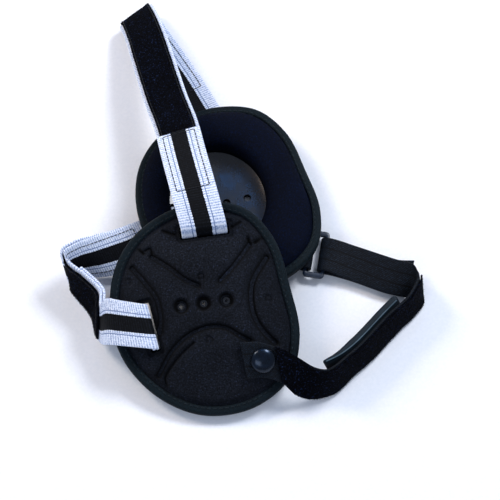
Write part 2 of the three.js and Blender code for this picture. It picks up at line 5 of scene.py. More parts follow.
import bmesh
import bpy
import numpy as np
from mathutils import Matrix, Vector
from mathutils.kdtree import KDTree


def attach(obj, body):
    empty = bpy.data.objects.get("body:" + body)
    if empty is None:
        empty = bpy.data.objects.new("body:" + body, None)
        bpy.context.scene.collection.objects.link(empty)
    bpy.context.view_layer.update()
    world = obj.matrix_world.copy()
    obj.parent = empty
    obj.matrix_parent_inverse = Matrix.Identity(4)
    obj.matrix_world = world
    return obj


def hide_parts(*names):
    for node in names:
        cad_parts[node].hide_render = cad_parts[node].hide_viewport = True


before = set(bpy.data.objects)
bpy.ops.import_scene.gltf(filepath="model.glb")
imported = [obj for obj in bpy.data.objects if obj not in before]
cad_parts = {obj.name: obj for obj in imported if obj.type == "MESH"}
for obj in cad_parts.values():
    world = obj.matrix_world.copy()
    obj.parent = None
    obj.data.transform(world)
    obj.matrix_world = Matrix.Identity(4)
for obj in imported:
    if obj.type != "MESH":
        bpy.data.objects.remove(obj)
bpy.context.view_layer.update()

MM = 0.001
BODY = "root"
rng = np.random.default_rng(7)

# Cup sizes
CUP_WIDTH = 104.0
CUP_HEIGHT = 118.0
CUP_DOME = 13.0
FLAT_SHARE = 0.42
DOME_POWER = 1.15
COVER_WALL = 2.5
FLANGE_WALL = 1.5
SHELL_WALL = 1.8
SHELL_SHARE = 0.8
SEAM_GAP = 0.3
BINDING_WIDTH = 5.0
BINDING_WALL = 1.0
BINDING_ROOM = 0.35
PAD_BULGE = 7.0
HOLLOW_WIDTH = 55.0
HOLLOW_HEIGHT = 64.0
HOLLOW_SHIFT = -5.0
VENT_SPACING = 12.3
VENT_SLANT = math.radians(8)
VENTS = [
    (place * VENT_SPACING * math.cos(VENT_SLANT), place * VENT_SPACING * math.sin(VENT_SLANT))
    for place in (-1, 0, 1)
]
VENT_HOLE = 3.9
VENT_PIT = 9.0
SLOT_CORNER = 1.2
# How deep the vent pits and the slots' lips sink into the cover, and how wide their slopes are
VENT_SINK = 2.9
PIT_ROUND = 0.6
PIT_SLOPE = 2.6
LIP_SINK = 1.1
LIP_REACH = 2.6
LIP_SLOPE = 1.3

# Where the cups lie
RIGHT_TILT = math.radians(16.4)
RIGHT_PLACE = (-11.5, -71.0, 19.75)
LEFT_TURN = math.radians(6)
REST_OFFSET = 8.0

# Strap sizes
WEBBING_WIDTH = 25.0
WEBBING_WALL = 1.5
PILE_WALL = 1.2
PILE_MARGIN = 2.0
CROWN_REACH = 150.0
BACK_REACH = 60.0
CHIN_WIDTH = 20.0
CHIN_WALL = 1.6
CHIN_REACH = 100.0
CHIN_PAD_WALL = 5.5
# The chin pad's thickness at its lower end and what it gains along its taper, as shares of its wall
CHIN_PAD_THIN = 0.42
CHIN_PAD_SWELL = 0.46
CHIN_PAD_TAPER = 22
CHIN_PAD_ROUND = 1.6
EDGING_RADIUS = 0.34
SLOT_ROOM = 1.1
STRAP_CLEARANCE = 0.5
CHIN_LIFT = 1.1
CHIN_LEAVE_LIFT = 2.8
STRAP_CORNER = 0.55
PILE_LOW = WEBBING_WALL + SEAM_GAP
TAIL_OFFSET = WEBBING_WALL + SEAM_GAP + PILE_WALL + SEAM_GAP
INNER_TAIL_OFFSET = -(WEBBING_WALL + SEAM_GAP)
PILE_HIGH = PILE_LOW + PILE_WALL
TAIL_HIGH = TAIL_OFFSET + WEBBING_WALL
CHIN_PILE_LOW = CHIN_WALL + SEAM_GAP

# Colours across the webbing, as distances from its middle
BAND_HALF = 4.5
LINE_MIDDLE = 6.3
LINE_WIDTH = 0.55
SUNK_LINE = 3.4
SUNK_HALF = 0.4

# Where the pieces sewn on a strap begin and end, counted in sections of its path
CROWN_PILE = (8 / 3, 34 / 3)
CROWN_PILE_BARE = (3.75, 34 / 3)
CROWN_TAIL_END = 11 / 3
CROWN_TAIL_SEAM = 2.12
BACK_PILE = (3, 32 / 3)
BACK_PILE_BARE = (3, 6.3)
BACK_OUTER_TAIL = (19 / 3, 32 / 3)
BACK_INNER_TAIL_END = 16 / 3
CHIN_PILE = (2, 10)
CHIN_END_SEAM = 12

# Stitches and loose fibres
TAPE_STITCH = {"pitch": 3.2, "length": 2.3, "radius": 0.26}
STRAP_STITCH = {"pitch": 2.5, "length": 2.45, "radius": 0.24}
STITCH_SIDES = 6
SEAM_LIFT = 0.04
SEAM_INSET = PILE_MARGIN + 1.2
SEAM_END = 1.5
CROWN_SEAM_INSET = 3.4
CROWN_SEAM_END = 1.4
BACK_SEAM_INSET = 2.2
BACK_SEAM_LENGTH = 14
BACK_INSIDE_SEAM_START = 2
CHIN_SEAM_INSET = 2.0
CHIN_SEAM_LENGTH = 12
FIBRES_PER_SQUARE_MM = 2.0
FIBRE_LENGTH = 0.75
FIBRE_RADIUS = 0.11

# Hardware sizes
SNAP_SIZE = 13.6
SNAP_HEIGHT = 3.4
SNAP_SEAT = 0.7
BUCKLE_LENGTH = 29.0
BUCKLE_DEPTH = 12.0
BUCKLE_BAR = 2.0
BUCKLE_CORNER = 2.2
BUCKLE_HOLE_CORNER = 0.8
BAR_ROOM = 1.85
TAB_LENGTH = 6.0

# The cup's edge as shares of its half sizes
OUTLINE = [
    (0.00, 0.98), (0.44, 0.91), (0.74, 0.62), (0.90, 0.18), (1.00, -0.26), (0.90, -0.66), (0.52, -0.94),
    (0.00, -1.01), (-0.47, -0.85), (-0.84, -0.51), (-0.99, -0.08), (-0.94, 0.36), (-0.73, 0.67),
    (-0.36, 0.90),
]

# Moulded grooves as shares of the cup's half sizes, with each groove's depth and half width in mm
GROOVES = [
    {"depth": 2.9, "half": 1.2, "rows": [(-0.55, 0.44), (-0.36, 0.33), (-0.20, 0.22), (-0.06, 0.165)]},
    {"depth": 2.9, "half": 1.2, "rows": [(0.17, 0.21), (0.30, 0.34), (0.42, 0.49), (0.47, 0.56)]},
    {"depth": 2.9, "half": 1.25, "rows": [
        (-0.76, 0.34), (-0.62, 0.20), (-0.49, 0.04), (-0.445, -0.14), (-0.45, -0.26),
    ]},
    {"depth": 3.1, "half": 1.35, "rows": [
        (0.65, 0.44), (0.51, 0.22), (0.49, 0.045), (0.53, -0.12), (0.62, -0.25), (0.74, -0.35),
    ]},
    {"depth": 2.5, "half": 1.2, "rows": [
        (-0.47, -0.65), (-0.32, -0.425), (-0.135, -0.28), (0.05, -0.215), (0.22, -0.22), (0.385, -0.30),
        (0.47, -0.335),
    ]},
    {"depth": 1.5, "half": 0.9, "rows": [(-0.38, -0.74), (-0.40, -0.68), (-0.27, -0.50), (-0.10, -0.36)]},
    {"depth": 1.9, "half": 0.95, "rows": [(-0.44, 0.69), (-0.31, 0.65)]},
    {"depth": 1.9, "half": 0.95, "rows": [(0.29, 0.72), (0.38, 0.78)]},
    {"depth": 1.9, "half": 0.95, "rows": [(-0.70, 0.525), (-0.64, 0.475)]},
    {"depth": 1.6, "half": 0.8, "rows": [(-0.62, 0.50), (-0.57, 0.52), (-0.55, 0.47), (-0.55, 0.44)]},
    {"depth": 1.9, "half": 0.95, "rows": [(0.53, 0.58), (0.60, 0.63)]},
    {"depth": 1.6, "half": 0.8, "rows": [(0.47, 0.56), (0.455, 0.62)]},
]
# Small arches pressed into the middle of each panel
MARKS = [(-0.03, 0.245), (0.06, -0.335), (-0.80, 0.21), (0.67, 0.055)]
MARK_RADIUS = 1.6
MARK_DEPTH = 0.9
MARK_HALF = 0.7

# Strap slots and snap as shares of the cup's half sizes. low and high are the offsets of what passes.
CROWN_SLOT = {"middle": (-0.007, 0.722), "angle": math.radians(8), "low": 0.0, "high": TAIL_HIGH}
BACK_SLOT = {
    "middle": (-0.556, -0.214), "angle": math.radians(105), "low": INNER_TAIL_OFFSET, "high": WEBBING_WALL,
}
SNAP_MIDDLE = (0.61, -0.51)
CHIN_ANGLE = math.radians(102)
# The chin strap's end, its leaving point and its anchor beside the snap, as shares of its width
CHIN_END = (-0.52, -0.02)
CHIN_LEAVE = (0.39, -0.12)
CHIN_ANCHOR = (0.26, -0.09)

# Strap sections: place as shares of the strap's reach, then the direction of the strap's width
CROWN_NEAR = [
    (-0.030, 0.101, 0.030, 0.97, 0.20, 0.06), (-0.068, 0.256, 0.006, 0.95, 0.28, 0.08),
    (-0.108, 0.424, -0.029, 0.96, 0.26, 0.08), (-0.150, 0.556, -0.066, 0.96, 0.26, 0.09),
    (-0.208, 0.765, -0.112, 0.92, 0.36, 0.12), (-0.242, 0.904, -0.155, 0.82, 0.55, 0.12),
]
CROWN_FAR = [
    (-0.320, 0.515, 0.012, 0.76, 0.65, 0.03), (-0.309, 0.496, -0.006, 0.78, 0.62, 0.00),
    (-0.279, 0.446, -0.008, 0.84, 0.54, 0.00), (-0.146, 0.233, -0.008, 0.86, 0.50, 0.00),
    (-0.061, 0.085, -0.015, 0.90, 0.42, 0.00),
]
BACK_NEAR = [
    (-0.370, 0.062, -0.050, -0.10, 0.93, 0.35), (-0.515, 0.187, -0.290, 0.06, 0.58, 0.80),
    (-0.598, 0.448, -0.363, 0.20, 0.36, 0.91), (-0.738, 0.645, -0.378, 0.15, 0.28, 0.95),
    (-0.787, 0.720, -0.376, -0.05, 0.34, 0.93),
]
BACK_FAR = [
    (-0.990, -0.378, 0.010, -0.25, 0.32, 0.91), (-0.900, -0.345, 0.010, -0.28, 0.42, 0.86),
    (-0.717, -0.328, 0.020, -0.38, 0.62, 0.68), (-0.450, -0.253, 0.042, -0.46, 0.80, 0.38),
    (-0.250, -0.145, 0.044, -0.42, 0.89, 0.12),
]
CHIN_ROWS = [
    (0.093, -0.040, -0.069, 0.16, 0.75, 0.64), (0.188, -0.045, -0.119, 0.08, 0.56, 0.83),
    (0.309, -0.006, -0.131, -0.20, 0.28, 0.93), (0.410, 0.095, -0.131, -0.30, 0.05, 0.95),
    (0.506, 0.180, -0.131, -0.30, 0.05, 0.95), (0.662, 0.352, -0.131, -0.30, 0.05, 0.95),
    (0.773, 0.466, -0.131, -0.28, 0.02, 0.95), (0.806, 0.520, -0.129, -0.12, 0.36, 0.92),
    (0.760, 0.530, -0.115, 0.05, 0.78, 0.62), (0.648, 0.547, -0.097, 0.17, 0.87, 0.44),
    (0.420, 0.634, -0.089, 0.19, 0.95, 0.20), (0.320, 0.672, -0.071, 0.17, 0.98, 0.08),
]
CHIN_TAIL = [
    (0.320, 0.677, -0.133, 0.17, 0.98, 0.08), (0.425, 0.645, -0.133, 0.19, 0.95, 0.20),
    (0.653, 0.565, -0.137, 0.17, 0.87, 0.44), (0.738, 0.560, -0.133, 0.22, 0.87, 0.40),
]
CHIN_PAD = [
    (0.312, 0.058, -0.122, -0.28, 0.10, 0.95), (0.420, 0.125, -0.122, -0.30, 0.05, 0.95),
    (0.498, 0.190, -0.122, -0.30, 0.05, 0.95), (0.654, 0.360, -0.122, -0.30, 0.05, 0.95),
    (0.735, 0.444, -0.122, -0.30, 0.05, 0.95),
]
BAR_ROW = (0.268, 0.690, -0.102, 0.16, 0.985, 0.03)


# Splines and cup shapes

def unit(v):
    return v / np.linalg.norm(v)


class Spline:
    """Centripetal spline through points, as the straps and the outline are drawn."""

    def __init__(self, points, closed=False):
        self.points = np.asarray(points, float)
        self.closed = closed

    def at(self, t):
        pts = self.points
        count = len(pts)
        place = (count - (0 if self.closed else 1)) * t
        first = int(math.floor(place))
        weight = place - first
        if self.closed:
            first %= count
        elif weight == 0 and first == count - 1:
            first, weight = count - 2, 1.0
        first = min(first, count - 1 if self.closed else count - 2)
        p1 = pts[first % count]
        p2 = pts[(first + 1) % count]
        p0 = pts[(first - 1) % count] if self.closed or first > 0 else 2 * p1 - p2
        p3 = pts[(first + 2) % count] if self.closed or first + 2 < count else 2 * p2 - p1
        d0, d1, d2 = (max(np.sum((b - a) ** 2) ** 0.25, 1e-4) for a, b in ((p0, p1), (p1, p2), (p2, p3)))
        m1 = ((p1 - p0) / d0 - (p2 - p0) / (d0 + d1) + (p2 - p1) / d1) * d1
        m2 = ((p2 - p1) / d1 - (p3 - p1) / (d1 + d2) + (p3 - p2) / d2) * d1
        a = 2 * p1 - 2 * p2 + m1 + m2
        b = -3 * p1 + 3 * p2 - 2 * m1 - m2
        return ((a * weight + b) * weight + m1) * weight + p1


def shares_to_mm(row):
    return np.array([row[0] * CUP_WIDTH / 2, row[1] * CUP_HEIGHT / 2])


outline_spline = Spline([shares_to_mm(row) for row in OUTLINE], closed=True)
outline_points = np.array([outline_spline.at(t) for t in np.linspace(0, 1, 720, endpoint=False)])
outline_angles = np.arctan2(outline_points[:, 1], outline_points[:, 0])
outline_order = np.argsort(outline_angles)
outline_angles = outline_angles[outline_order]
outline_radii = np.hypot(*outline_points.T)[outline_order]


def edge_radius(angle):
    """Distance from the cup's middle to its edge in a direction."""
    turned = (np.asarray(angle) + math.pi) % (2 * math.pi) - math.pi
    return np.interp(turned, outline_angles, outline_radii, period=2 * math.pi)


def cover_height(share):
    """Height of the plain dome at a share of the way from the cup's middle to its edge."""
    flange = SEAM_GAP / 2 + FLANGE_WALL
    past = np.clip((np.asarray(share) - FLAT_SHARE) / (1 - FLAT_SHARE), 0, 1)
    return flange + (CUP_DOME - flange) * (1 - past ** DOME_POWER)


def share_at(x, y):
    return np.hypot(x, y) / edge_radius(np.arctan2(y, x))


def shell_top(share):
    return cover_height(share) - COVER_WALL - SEAM_GAP


class Cup:
    """A cup's side, the way its outer face looks, and the place where it lies."""

    def __init__(self, side, outward, matrix):
        self.side = side
        self.outward = outward
        self.matrix = matrix

    def place(self, points):
        """Cup coordinates in mm to the part's frame in mm."""
        pts = np.array(points, float).reshape(-1, 3)
        pts[:, 2] *= self.outward
        rot = np.array(self.matrix.to_3x3())
        return pts @ rot.T + np.array(self.matrix.translation)


right_cup = Cup("right", 1, Matrix.Translation(RIGHT_PLACE) @ Matrix.Rotation(RIGHT_TILT, 4, "X"))
left_cup = Cup("left", -1, Matrix.Translation((0, 0, CUP_DOME)) @ Matrix.Rotation(LEFT_TURN, 4, "Z"))


def cup_section(cup, middle, angle, width, lift):
    """A strap's section on a cup's outer face: its first edge and the direction of its width."""
    half = width / 2
    turn = np.array([math.cos(angle), math.sin(angle)])
    ends = []
    for sign in (-1, 1):
        x, y = middle + sign * half * turn
        ends.append(cup.place([(x, y, float(cover_height(share_at(x, y))))])[0])
    low, high = ends
    normal = np.array(cup.matrix.to_3x3() @ Vector((0, 0, cup.outward)))
    across = unit(high - low)
    centre = (low + high) / 2 + normal * lift
    return centre - half * across, across


def free_sections(anchor, reach, rows):
    return [(np.array(row[:3]) * reach + anchor, unit(np.array(row[3:]))) for row in rows]


class Strap:
    """A strap's path: a smooth edge line and the direction of the width along it."""

    def __init__(self, sections, width, side):
        self.width = width
        self.side = side
        self.last = len(sections) - 1
        self.edges = Spline([s[0] for s in sections])
        self.widths = Spline([s[1] for s in sections])
        fine = np.linspace(0, self.last, self.last * 30 + 1)
        middle = np.array([self.raw(t)[0] + self.raw(t)[1] * width / 2 for t in fine])
        self.fine = fine
        self.lengths = np.concatenate([[0], np.cumsum(np.linalg.norm(np.diff(middle, axis=0), axis=1))])

    def raw(self, place):
        t = min(max(place / self.last, 0), 1)
        return self.edges.at(t), unit(self.widths.at(t))

    def frame(self, place):
        edge, across = self.raw(place)
        ahead = self.edges.at(min(place / self.last + 1e-4, 1))
        behind = self.edges.at(max(place / self.last - 1e-4, 0))
        out = unit(np.cross(across, ahead - behind)) * self.side
        return edge, across, out

    def length_at(self, place):
        return float(np.interp(place, self.fine, self.lengths))

    def place_at(self, length):
        return float(np.interp(length, self.lengths, self.fine))


SLOT_DEPTH = COVER_WALL


def in_slot(cup, slot, lift):
    """A strap's section where it passes a slot."""
    return cup_section(cup, shares_to_mm(slot["middle"]), slot["angle"], WEBBING_WIDTH, lift)


def chin_on(shift, lift):
    """The chin strap's section on the right cup, shifted from the snap by shares of its width."""
    middle = shares_to_mm(SNAP_MIDDLE) + np.array(shift) * CHIN_WIDTH
    return cup_section(right_cup, middle, CHIN_ANGLE, CHIN_WIDTH, lift)


crown_right = in_slot(right_cup, CROWN_SLOT, STRAP_CLEARANCE)
crown_left = in_slot(left_cup, CROWN_SLOT, STRAP_CLEARANCE)
crown_path = Strap(
    [in_slot(right_cup, CROWN_SLOT, -SLOT_DEPTH), crown_right]
    + free_sections(crown_right[0], CROWN_REACH, CROWN_NEAR)
    + free_sections(crown_left[0], CROWN_REACH, CROWN_FAR)
    + [crown_left, in_slot(left_cup, CROWN_SLOT, -SLOT_DEPTH)],
    WEBBING_WIDTH, 1)

back_right = in_slot(right_cup, BACK_SLOT, STRAP_CLEARANCE - INNER_TAIL_OFFSET)
back_left = in_slot(left_cup, BACK_SLOT, STRAP_CLEARANCE)
back_path = Strap(
    [in_slot(right_cup, BACK_SLOT, -SLOT_DEPTH), back_right]
    + free_sections(back_right[0], BACK_REACH, BACK_NEAR)
    + free_sections(back_left[0], BACK_REACH, BACK_FAR)
    + [back_left, in_slot(left_cup, BACK_SLOT, -SLOT_DEPTH)],
    WEBBING_WIDTH, 1)

chin_anchor = chin_on(CHIN_ANCHOR, CHIN_LEAVE_LIFT)[0]
bar_edge, bar_across = free_sections(chin_anchor, CHIN_REACH, [BAR_ROW])[0]
bar_up = unit(np.array([0, 0, 1.0]) - bar_across * bar_across[2])
bar_along = unit(np.cross(bar_across, bar_up))
turn_radius = BAR_ROOM + CHIN_WALL


def bar_turn(angle, edge, way):
    """A section on the half turn round a buckle's bar."""
    up = bar_up * turn_radius * math.cos(angle)
    return edge + up + way * bar_along * turn_radius * math.sin(angle), bar_across


HALF_TURN = [0, 0.25 * math.pi, 0.5 * math.pi, 0.75 * math.pi, math.pi]
chin_path = Strap(
    [chin_on(CHIN_END, CHIN_LIFT), chin_on((0, 0), CHIN_LIFT), chin_on(CHIN_LEAVE, CHIN_LEAVE_LIFT)]
    + free_sections(chin_anchor, CHIN_REACH, CHIN_ROWS)
    + [bar_turn(angle, bar_edge, -1) for angle in HALF_TURN]
    + free_sections(chin_anchor, CHIN_REACH, CHIN_TAIL),
    CHIN_WIDTH, -1)
chin_pad_path = Strap(free_sections(chin_anchor, CHIN_REACH, CHIN_PAD), CHIN_WIDTH, -1)

inner_bar = bar_edge - bar_along * (BUCKLE_DEPTH - BUCKLE_BAR)
tab_lift = CHIN_WALL + SEAM_GAP
tab_path = Strap(
    [(inner_bar + bar_up * tab_lift - bar_along * TAB_LENGTH, bar_across)]
    + [bar_turn(angle, inner_bar, 1) for angle in HALF_TURN]
    + [(inner_bar - bar_up * tab_lift - bar_along * TAB_LENGTH, bar_across)],
    CHIN_WIDTH, 1)


# Making meshes

def to_frame(points):
    """mm relative to the left cup's middle to metres in the part's frame."""
    pts = np.array(points, float).reshape(-1, 3)
    pts[:, 1] += REST_OFFSET
    return pts * MM


def make_mesh(name, verts, faces, material, uvs=None, smooth=True, fix_normals=True):
    """A mesh piece, linked to the scene. uvs holds one (along, across) in mm for each vertex."""
    mesh = bpy.data.meshes.new(name)
    mesh.from_pydata([tuple(v) for v in verts], [], [tuple(f) for f in faces])
    if uvs is not None:
        layer = mesh.uv_layers.new(name="weave")
        corner = np.empty(len(mesh.loops), dtype=np.int64)
        mesh.loops.foreach_get("vertex_index", corner)
        layer.data.foreach_set("uv", np.asarray(uvs, float)[corner].ravel())
    if fix_normals:
        bm = bmesh.new()
        bm.from_mesh(mesh)
        bmesh.ops.recalc_face_normals(bm, faces=bm.faces)
        bm.to_mesh(mesh)
        bm.free()
    mesh.polygons.foreach_set("use_smooth", [smooth] * len(mesh.polygons))
    mesh.materials.append(material)
    piece = bpy.data.objects.new(name, mesh)
    bpy.context.scene.collection.objects.link(piece)
    return piece


def finish_piece(piece, slot, *nodes):
    """Rides a piece on the body and hides the CAD nodes that it stands for. Its finish, slot, is not used."""
    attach(piece, BODY)
    if nodes:
        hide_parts(*nodes)
    return piece


def ring_faces(rows, count):
    """Faces between rows of rings, each with the same number of points."""
    faces = []
    for k in range(rows - 1):
        for i in range(count):
            j = (i + 1) % count
            faces.append((k * count + i, k * count + j, (k + 1) * count + j, (k + 1) * count + i))
    return faces


def joining_faces(rows, count):
    """Faces that join the last ring to the first."""
    last = (rows - 1) * count
    return [(last + i, last + (i + 1) % count, (i + 1) % count, i) for i in range(count)]


def end_faces(rows, count):
    """The two flat ends of a row of rings."""
    last = (rows - 1) * count
    return [tuple(range(count)), tuple(last + i for i in reversed(range(count)))]


def path_lengths(spots):
    """Length along a line of points, up to each of them."""
    return np.concatenate([[0], np.cumsum(np.linalg.norm(np.diff(spots, axis=0), axis=1))])


def rounded_loop(half_long, half_deep, corner, steps):
    """A rectangle with rounded corners, each drawn in these steps."""
    points = []
    for quarter, (sx, sy) in enumerate(((1, 1), (-1, 1), (-1, -1), (1, -1))):
        for step in range(steps + 1):
            angle = (quarter + step / steps) * math.pi / 2
            points.append((sx * (half_long - corner) + corner * math.cos(angle),
                           sy * (half_deep - corner) + corner * math.sin(angle)))
    return np.array(points)


# Materials

def linear(hex_code):
    """sRGB hex colour to linear RGBA."""
    channels = [int(hex_code[i:i + 2], 16) / 255 for i in (1, 3, 5)]
    return tuple(c / 12.92 if c <= 0.04045 else ((c + 0.055) / 1.055) ** 2.4 for c in channels) + (1.0,)


def add(tree, kind, settings=None, links=None):
    """Adds a node, sets its properties and sockets, and links its inputs.
    A node given as a link stands for its first output."""
    node = tree.nodes.new(kind)
    for key, value in (settings or {}).items():
        if key == "ramp":
            stops = node.color_ramp.elements
            while len(stops) < len(value):
                stops.new(0.5)
            for stop, (place, colour) in zip(stops, value):
                stop.position = place
                stop.color = linear(colour)
        elif isinstance(key, str) and hasattr(node, key):
            setattr(node, key, value)
        else:
            node.inputs[key].default_value = value
    for key, source in (links or {}).items():
        socket = source.outputs[0] if isinstance(source, bpy.types.Node) else source
        tree.links.new(socket, node.inputs[key])
    return node


def start_material(name):
    """An empty material, its node tree, and the place on the object that its patterns follow."""
    material = bpy.data.materials.new(name)
    material.use_nodes = True
    tree = material.node_tree
    tree.nodes.clear()
    return material, tree, add(tree, "ShaderNodeTexCoord").outputs["Object"]


def finish_material(material, settings, links):
    """Adds the shader, with its constants and its patterns, and the material's output."""
    shader = add(material.node_tree, "ShaderNodeBsdfPrincipled", settings, links)
    add(material.node_tree, "ShaderNodeOutputMaterial", {}, {"Surface": shader})
    return material


def per_mm(size):
    """Texture scale for a pattern whose real repeat is size mm."""
    return 1 / (size * MM)


def weave_places(tree):
    """Places along and across a strap or tape, in mm."""
    uv = add(tree, "ShaderNodeUVMap", {"uv_map": "weave"})
    parts = add(tree, "ShaderNodeSeparateXYZ", {}, {0: uv}).outputs
    return parts[0], parts[1]


def yarn_wave(tree, place, pitch):
    """A wave from -1 to 1 with one yarn every pitch mm."""
    phase = add(tree, "ShaderNodeMath", {"operation": "MULTIPLY", 1: 2 * math.pi / pitch}, {0: place})
    return add(tree, "ShaderNodeMath", {"operation": "SINE"}, {0: phase})


def from_middle(tree, across, width):
    """Distance from the middle of a strap's width, in mm."""
    offset = add(tree, "ShaderNodeMath", {"operation": "SUBTRACT", 1: width / 2}, {0: across})
    return add(tree, "ShaderNodeMath", {"operation": "ABSOLUTE"}, {0: offset})


def moulded_jersey(name, dark, light, warm, cool, fleck_size, sheen):
    # Polyester jersey bonded to foam and hot moulded: dull and soft, with fine warm and cool flecks.
    # Where the cover's relief sinks, in its grooves, marks, vent pits and slot lips, the colour is painted
    # darker, down to near black in the deepest grooves: painted shade.
    material, tree, spot = start_material(name)
    # Loops are 0.5 mm; the knit and its flecks are drawn a little coarser so that they show
    knit_loop = 0.62
    fleck = add(tree, "ShaderNodeTexNoise", {"Scale": per_mm(fleck_size), "Detail": 3.0, "Roughness": 0.7},
                {"Vector": spot})
    tint = add(tree, "ShaderNodeTexNoise", {"Scale": per_mm(fleck_size * 1.7), "Detail": 2.0},
               {"Vector": spot})
    cloud = add(tree, "ShaderNodeTexNoise", {"Scale": per_mm(22), "Detail": 3.0}, {"Vector": spot})
    base = add(tree, "ShaderNodeValToRGB", {"ramp": [(0.36, dark), (0.66, light)]}, {"Fac": fleck})
    accent = add(tree, "ShaderNodeValToRGB", {"ramp": [(0.40, warm), (0.60, cool)]}, {"Fac": tint})
    sparse = add(tree, "ShaderNodeMapRange", {1: 0.60, 2: 0.74, 3: 0.0, 4: 0.55}, {0: fleck})
    mixed = add(tree, "ShaderNodeMix", {"data_type": "RGBA"}, {0: sparse, 6: base, 7: accent})
    worn = add(tree, "ShaderNodeMapRange", {1: 0.35, 2: 0.70, 3: 0.82, 4: 1.18}, {0: cloud})
    # Painted shade: this value darkens the colour where the cover's relief sinks
    pressed = add(tree, "ShaderNodeAttribute", {"attribute_name": "pressed"}).outputs["Fac"]
    groove_shade_factor = add(tree, "ShaderNodeMapRange", {1: 0.0, 2: 1.0, 3: 1.0, 4: 0.05}, {0: pressed})
    value = add(tree, "ShaderNodeMath", {"operation": "MULTIPLY"}, {0: worn, 1: groove_shade_factor})
    toned = add(tree, "ShaderNodeHueSaturation", {}, {"Color": mixed.outputs[2], "Value": value})
    knit = add(tree, "ShaderNodeTexVoronoi", {"Scale": per_mm(knit_loop), "Randomness": 0.55},
               {"Vector": spot})
    height = add(tree, "ShaderNodeMath", {"operation": "MULTIPLY_ADD", 1: 0.6}, {0: cloud, 2: knit})
    bump = add(tree, "ShaderNodeBump", {"Strength": 0.45, "Distance": 0.22 * MM}, {"Height": height})
    return finish_material(material, {
        "Roughness": 0.88, "IOR": 1.46, "Sheen Weight": sheen, "Sheen Roughness": 0.4,
        "Specular IOR Level": 0.1,
    }, {"Base Color": toned, "Normal": bump})


def twill_tape():
    # Woven polyester binding tape: matt, with a fine slanting rib that runs along the fold.
    material, tree, spot = start_material("polyester_twill_tape")
    along, across = weave_places(tree)
    # Twill lines are 0.5 mm apart; drawn at 0.9 mm so that they show
    twill_pitch = 0.9
    slant = add(tree, "ShaderNodeMath", {"operation": "ADD"}, {0: along, 1: across})
    rib = yarn_wave(tree, slant, twill_pitch)
    fuzz = add(tree, "ShaderNodeTexNoise", {"Scale": per_mm(0.7), "Detail": 3.0}, {"Vector": spot})
    level = add(tree, "ShaderNodeMath", {"operation": "MULTIPLY_ADD", 1: 0.175}, {0: rib, 2: fuzz})
    shade = add(tree, "ShaderNodeValToRGB",
                {"ramp": [(0.25, "#02070a"), (0.55, "#071319"), (0.85, "#12252e")]}, {"Fac": level})
    bump = add(tree, "ShaderNodeBump", {"Strength": 0.5, "Distance": 0.15 * MM}, {"Height": level})
    return finish_material(material, {
        "Roughness": 0.7, "IOR": 1.5, "Specular IOR Level": 0.12,
    }, {"Base Color": shade, "Normal": bump})


def moulded_plastic(name, colour, worn, roughness):
    # Injection moulded ABS or acetal: glossy, with a faint orange peel and light rubbing.
    material, tree, spot = start_material(name)
    peel = add(tree, "ShaderNodeTexNoise", {"Scale": per_mm(2.2), "Detail": 2.0}, {"Vector": spot})
    rub = add(tree, "ShaderNodeTexNoise", {"Scale": per_mm(9), "Detail": 5.0, "Roughness": 0.65},
              {"Vector": spot})
    shade = add(tree, "ShaderNodeValToRGB", {"ramp": [(0.35, colour), (0.8, worn)]}, {"Fac": rub})
    gloss = add(tree, "ShaderNodeMapRange", {1: 0.3, 2: 0.75, 3: roughness, 4: roughness + 0.16}, {0: rub})
    bump = add(tree, "ShaderNodeBump", {"Strength": 0.12, "Distance": 0.1 * MM}, {"Height": peel})
    return finish_material(material, {"IOR": 1.54}, {"Base Color": shade, "Roughness": gloss, "Normal": bump})


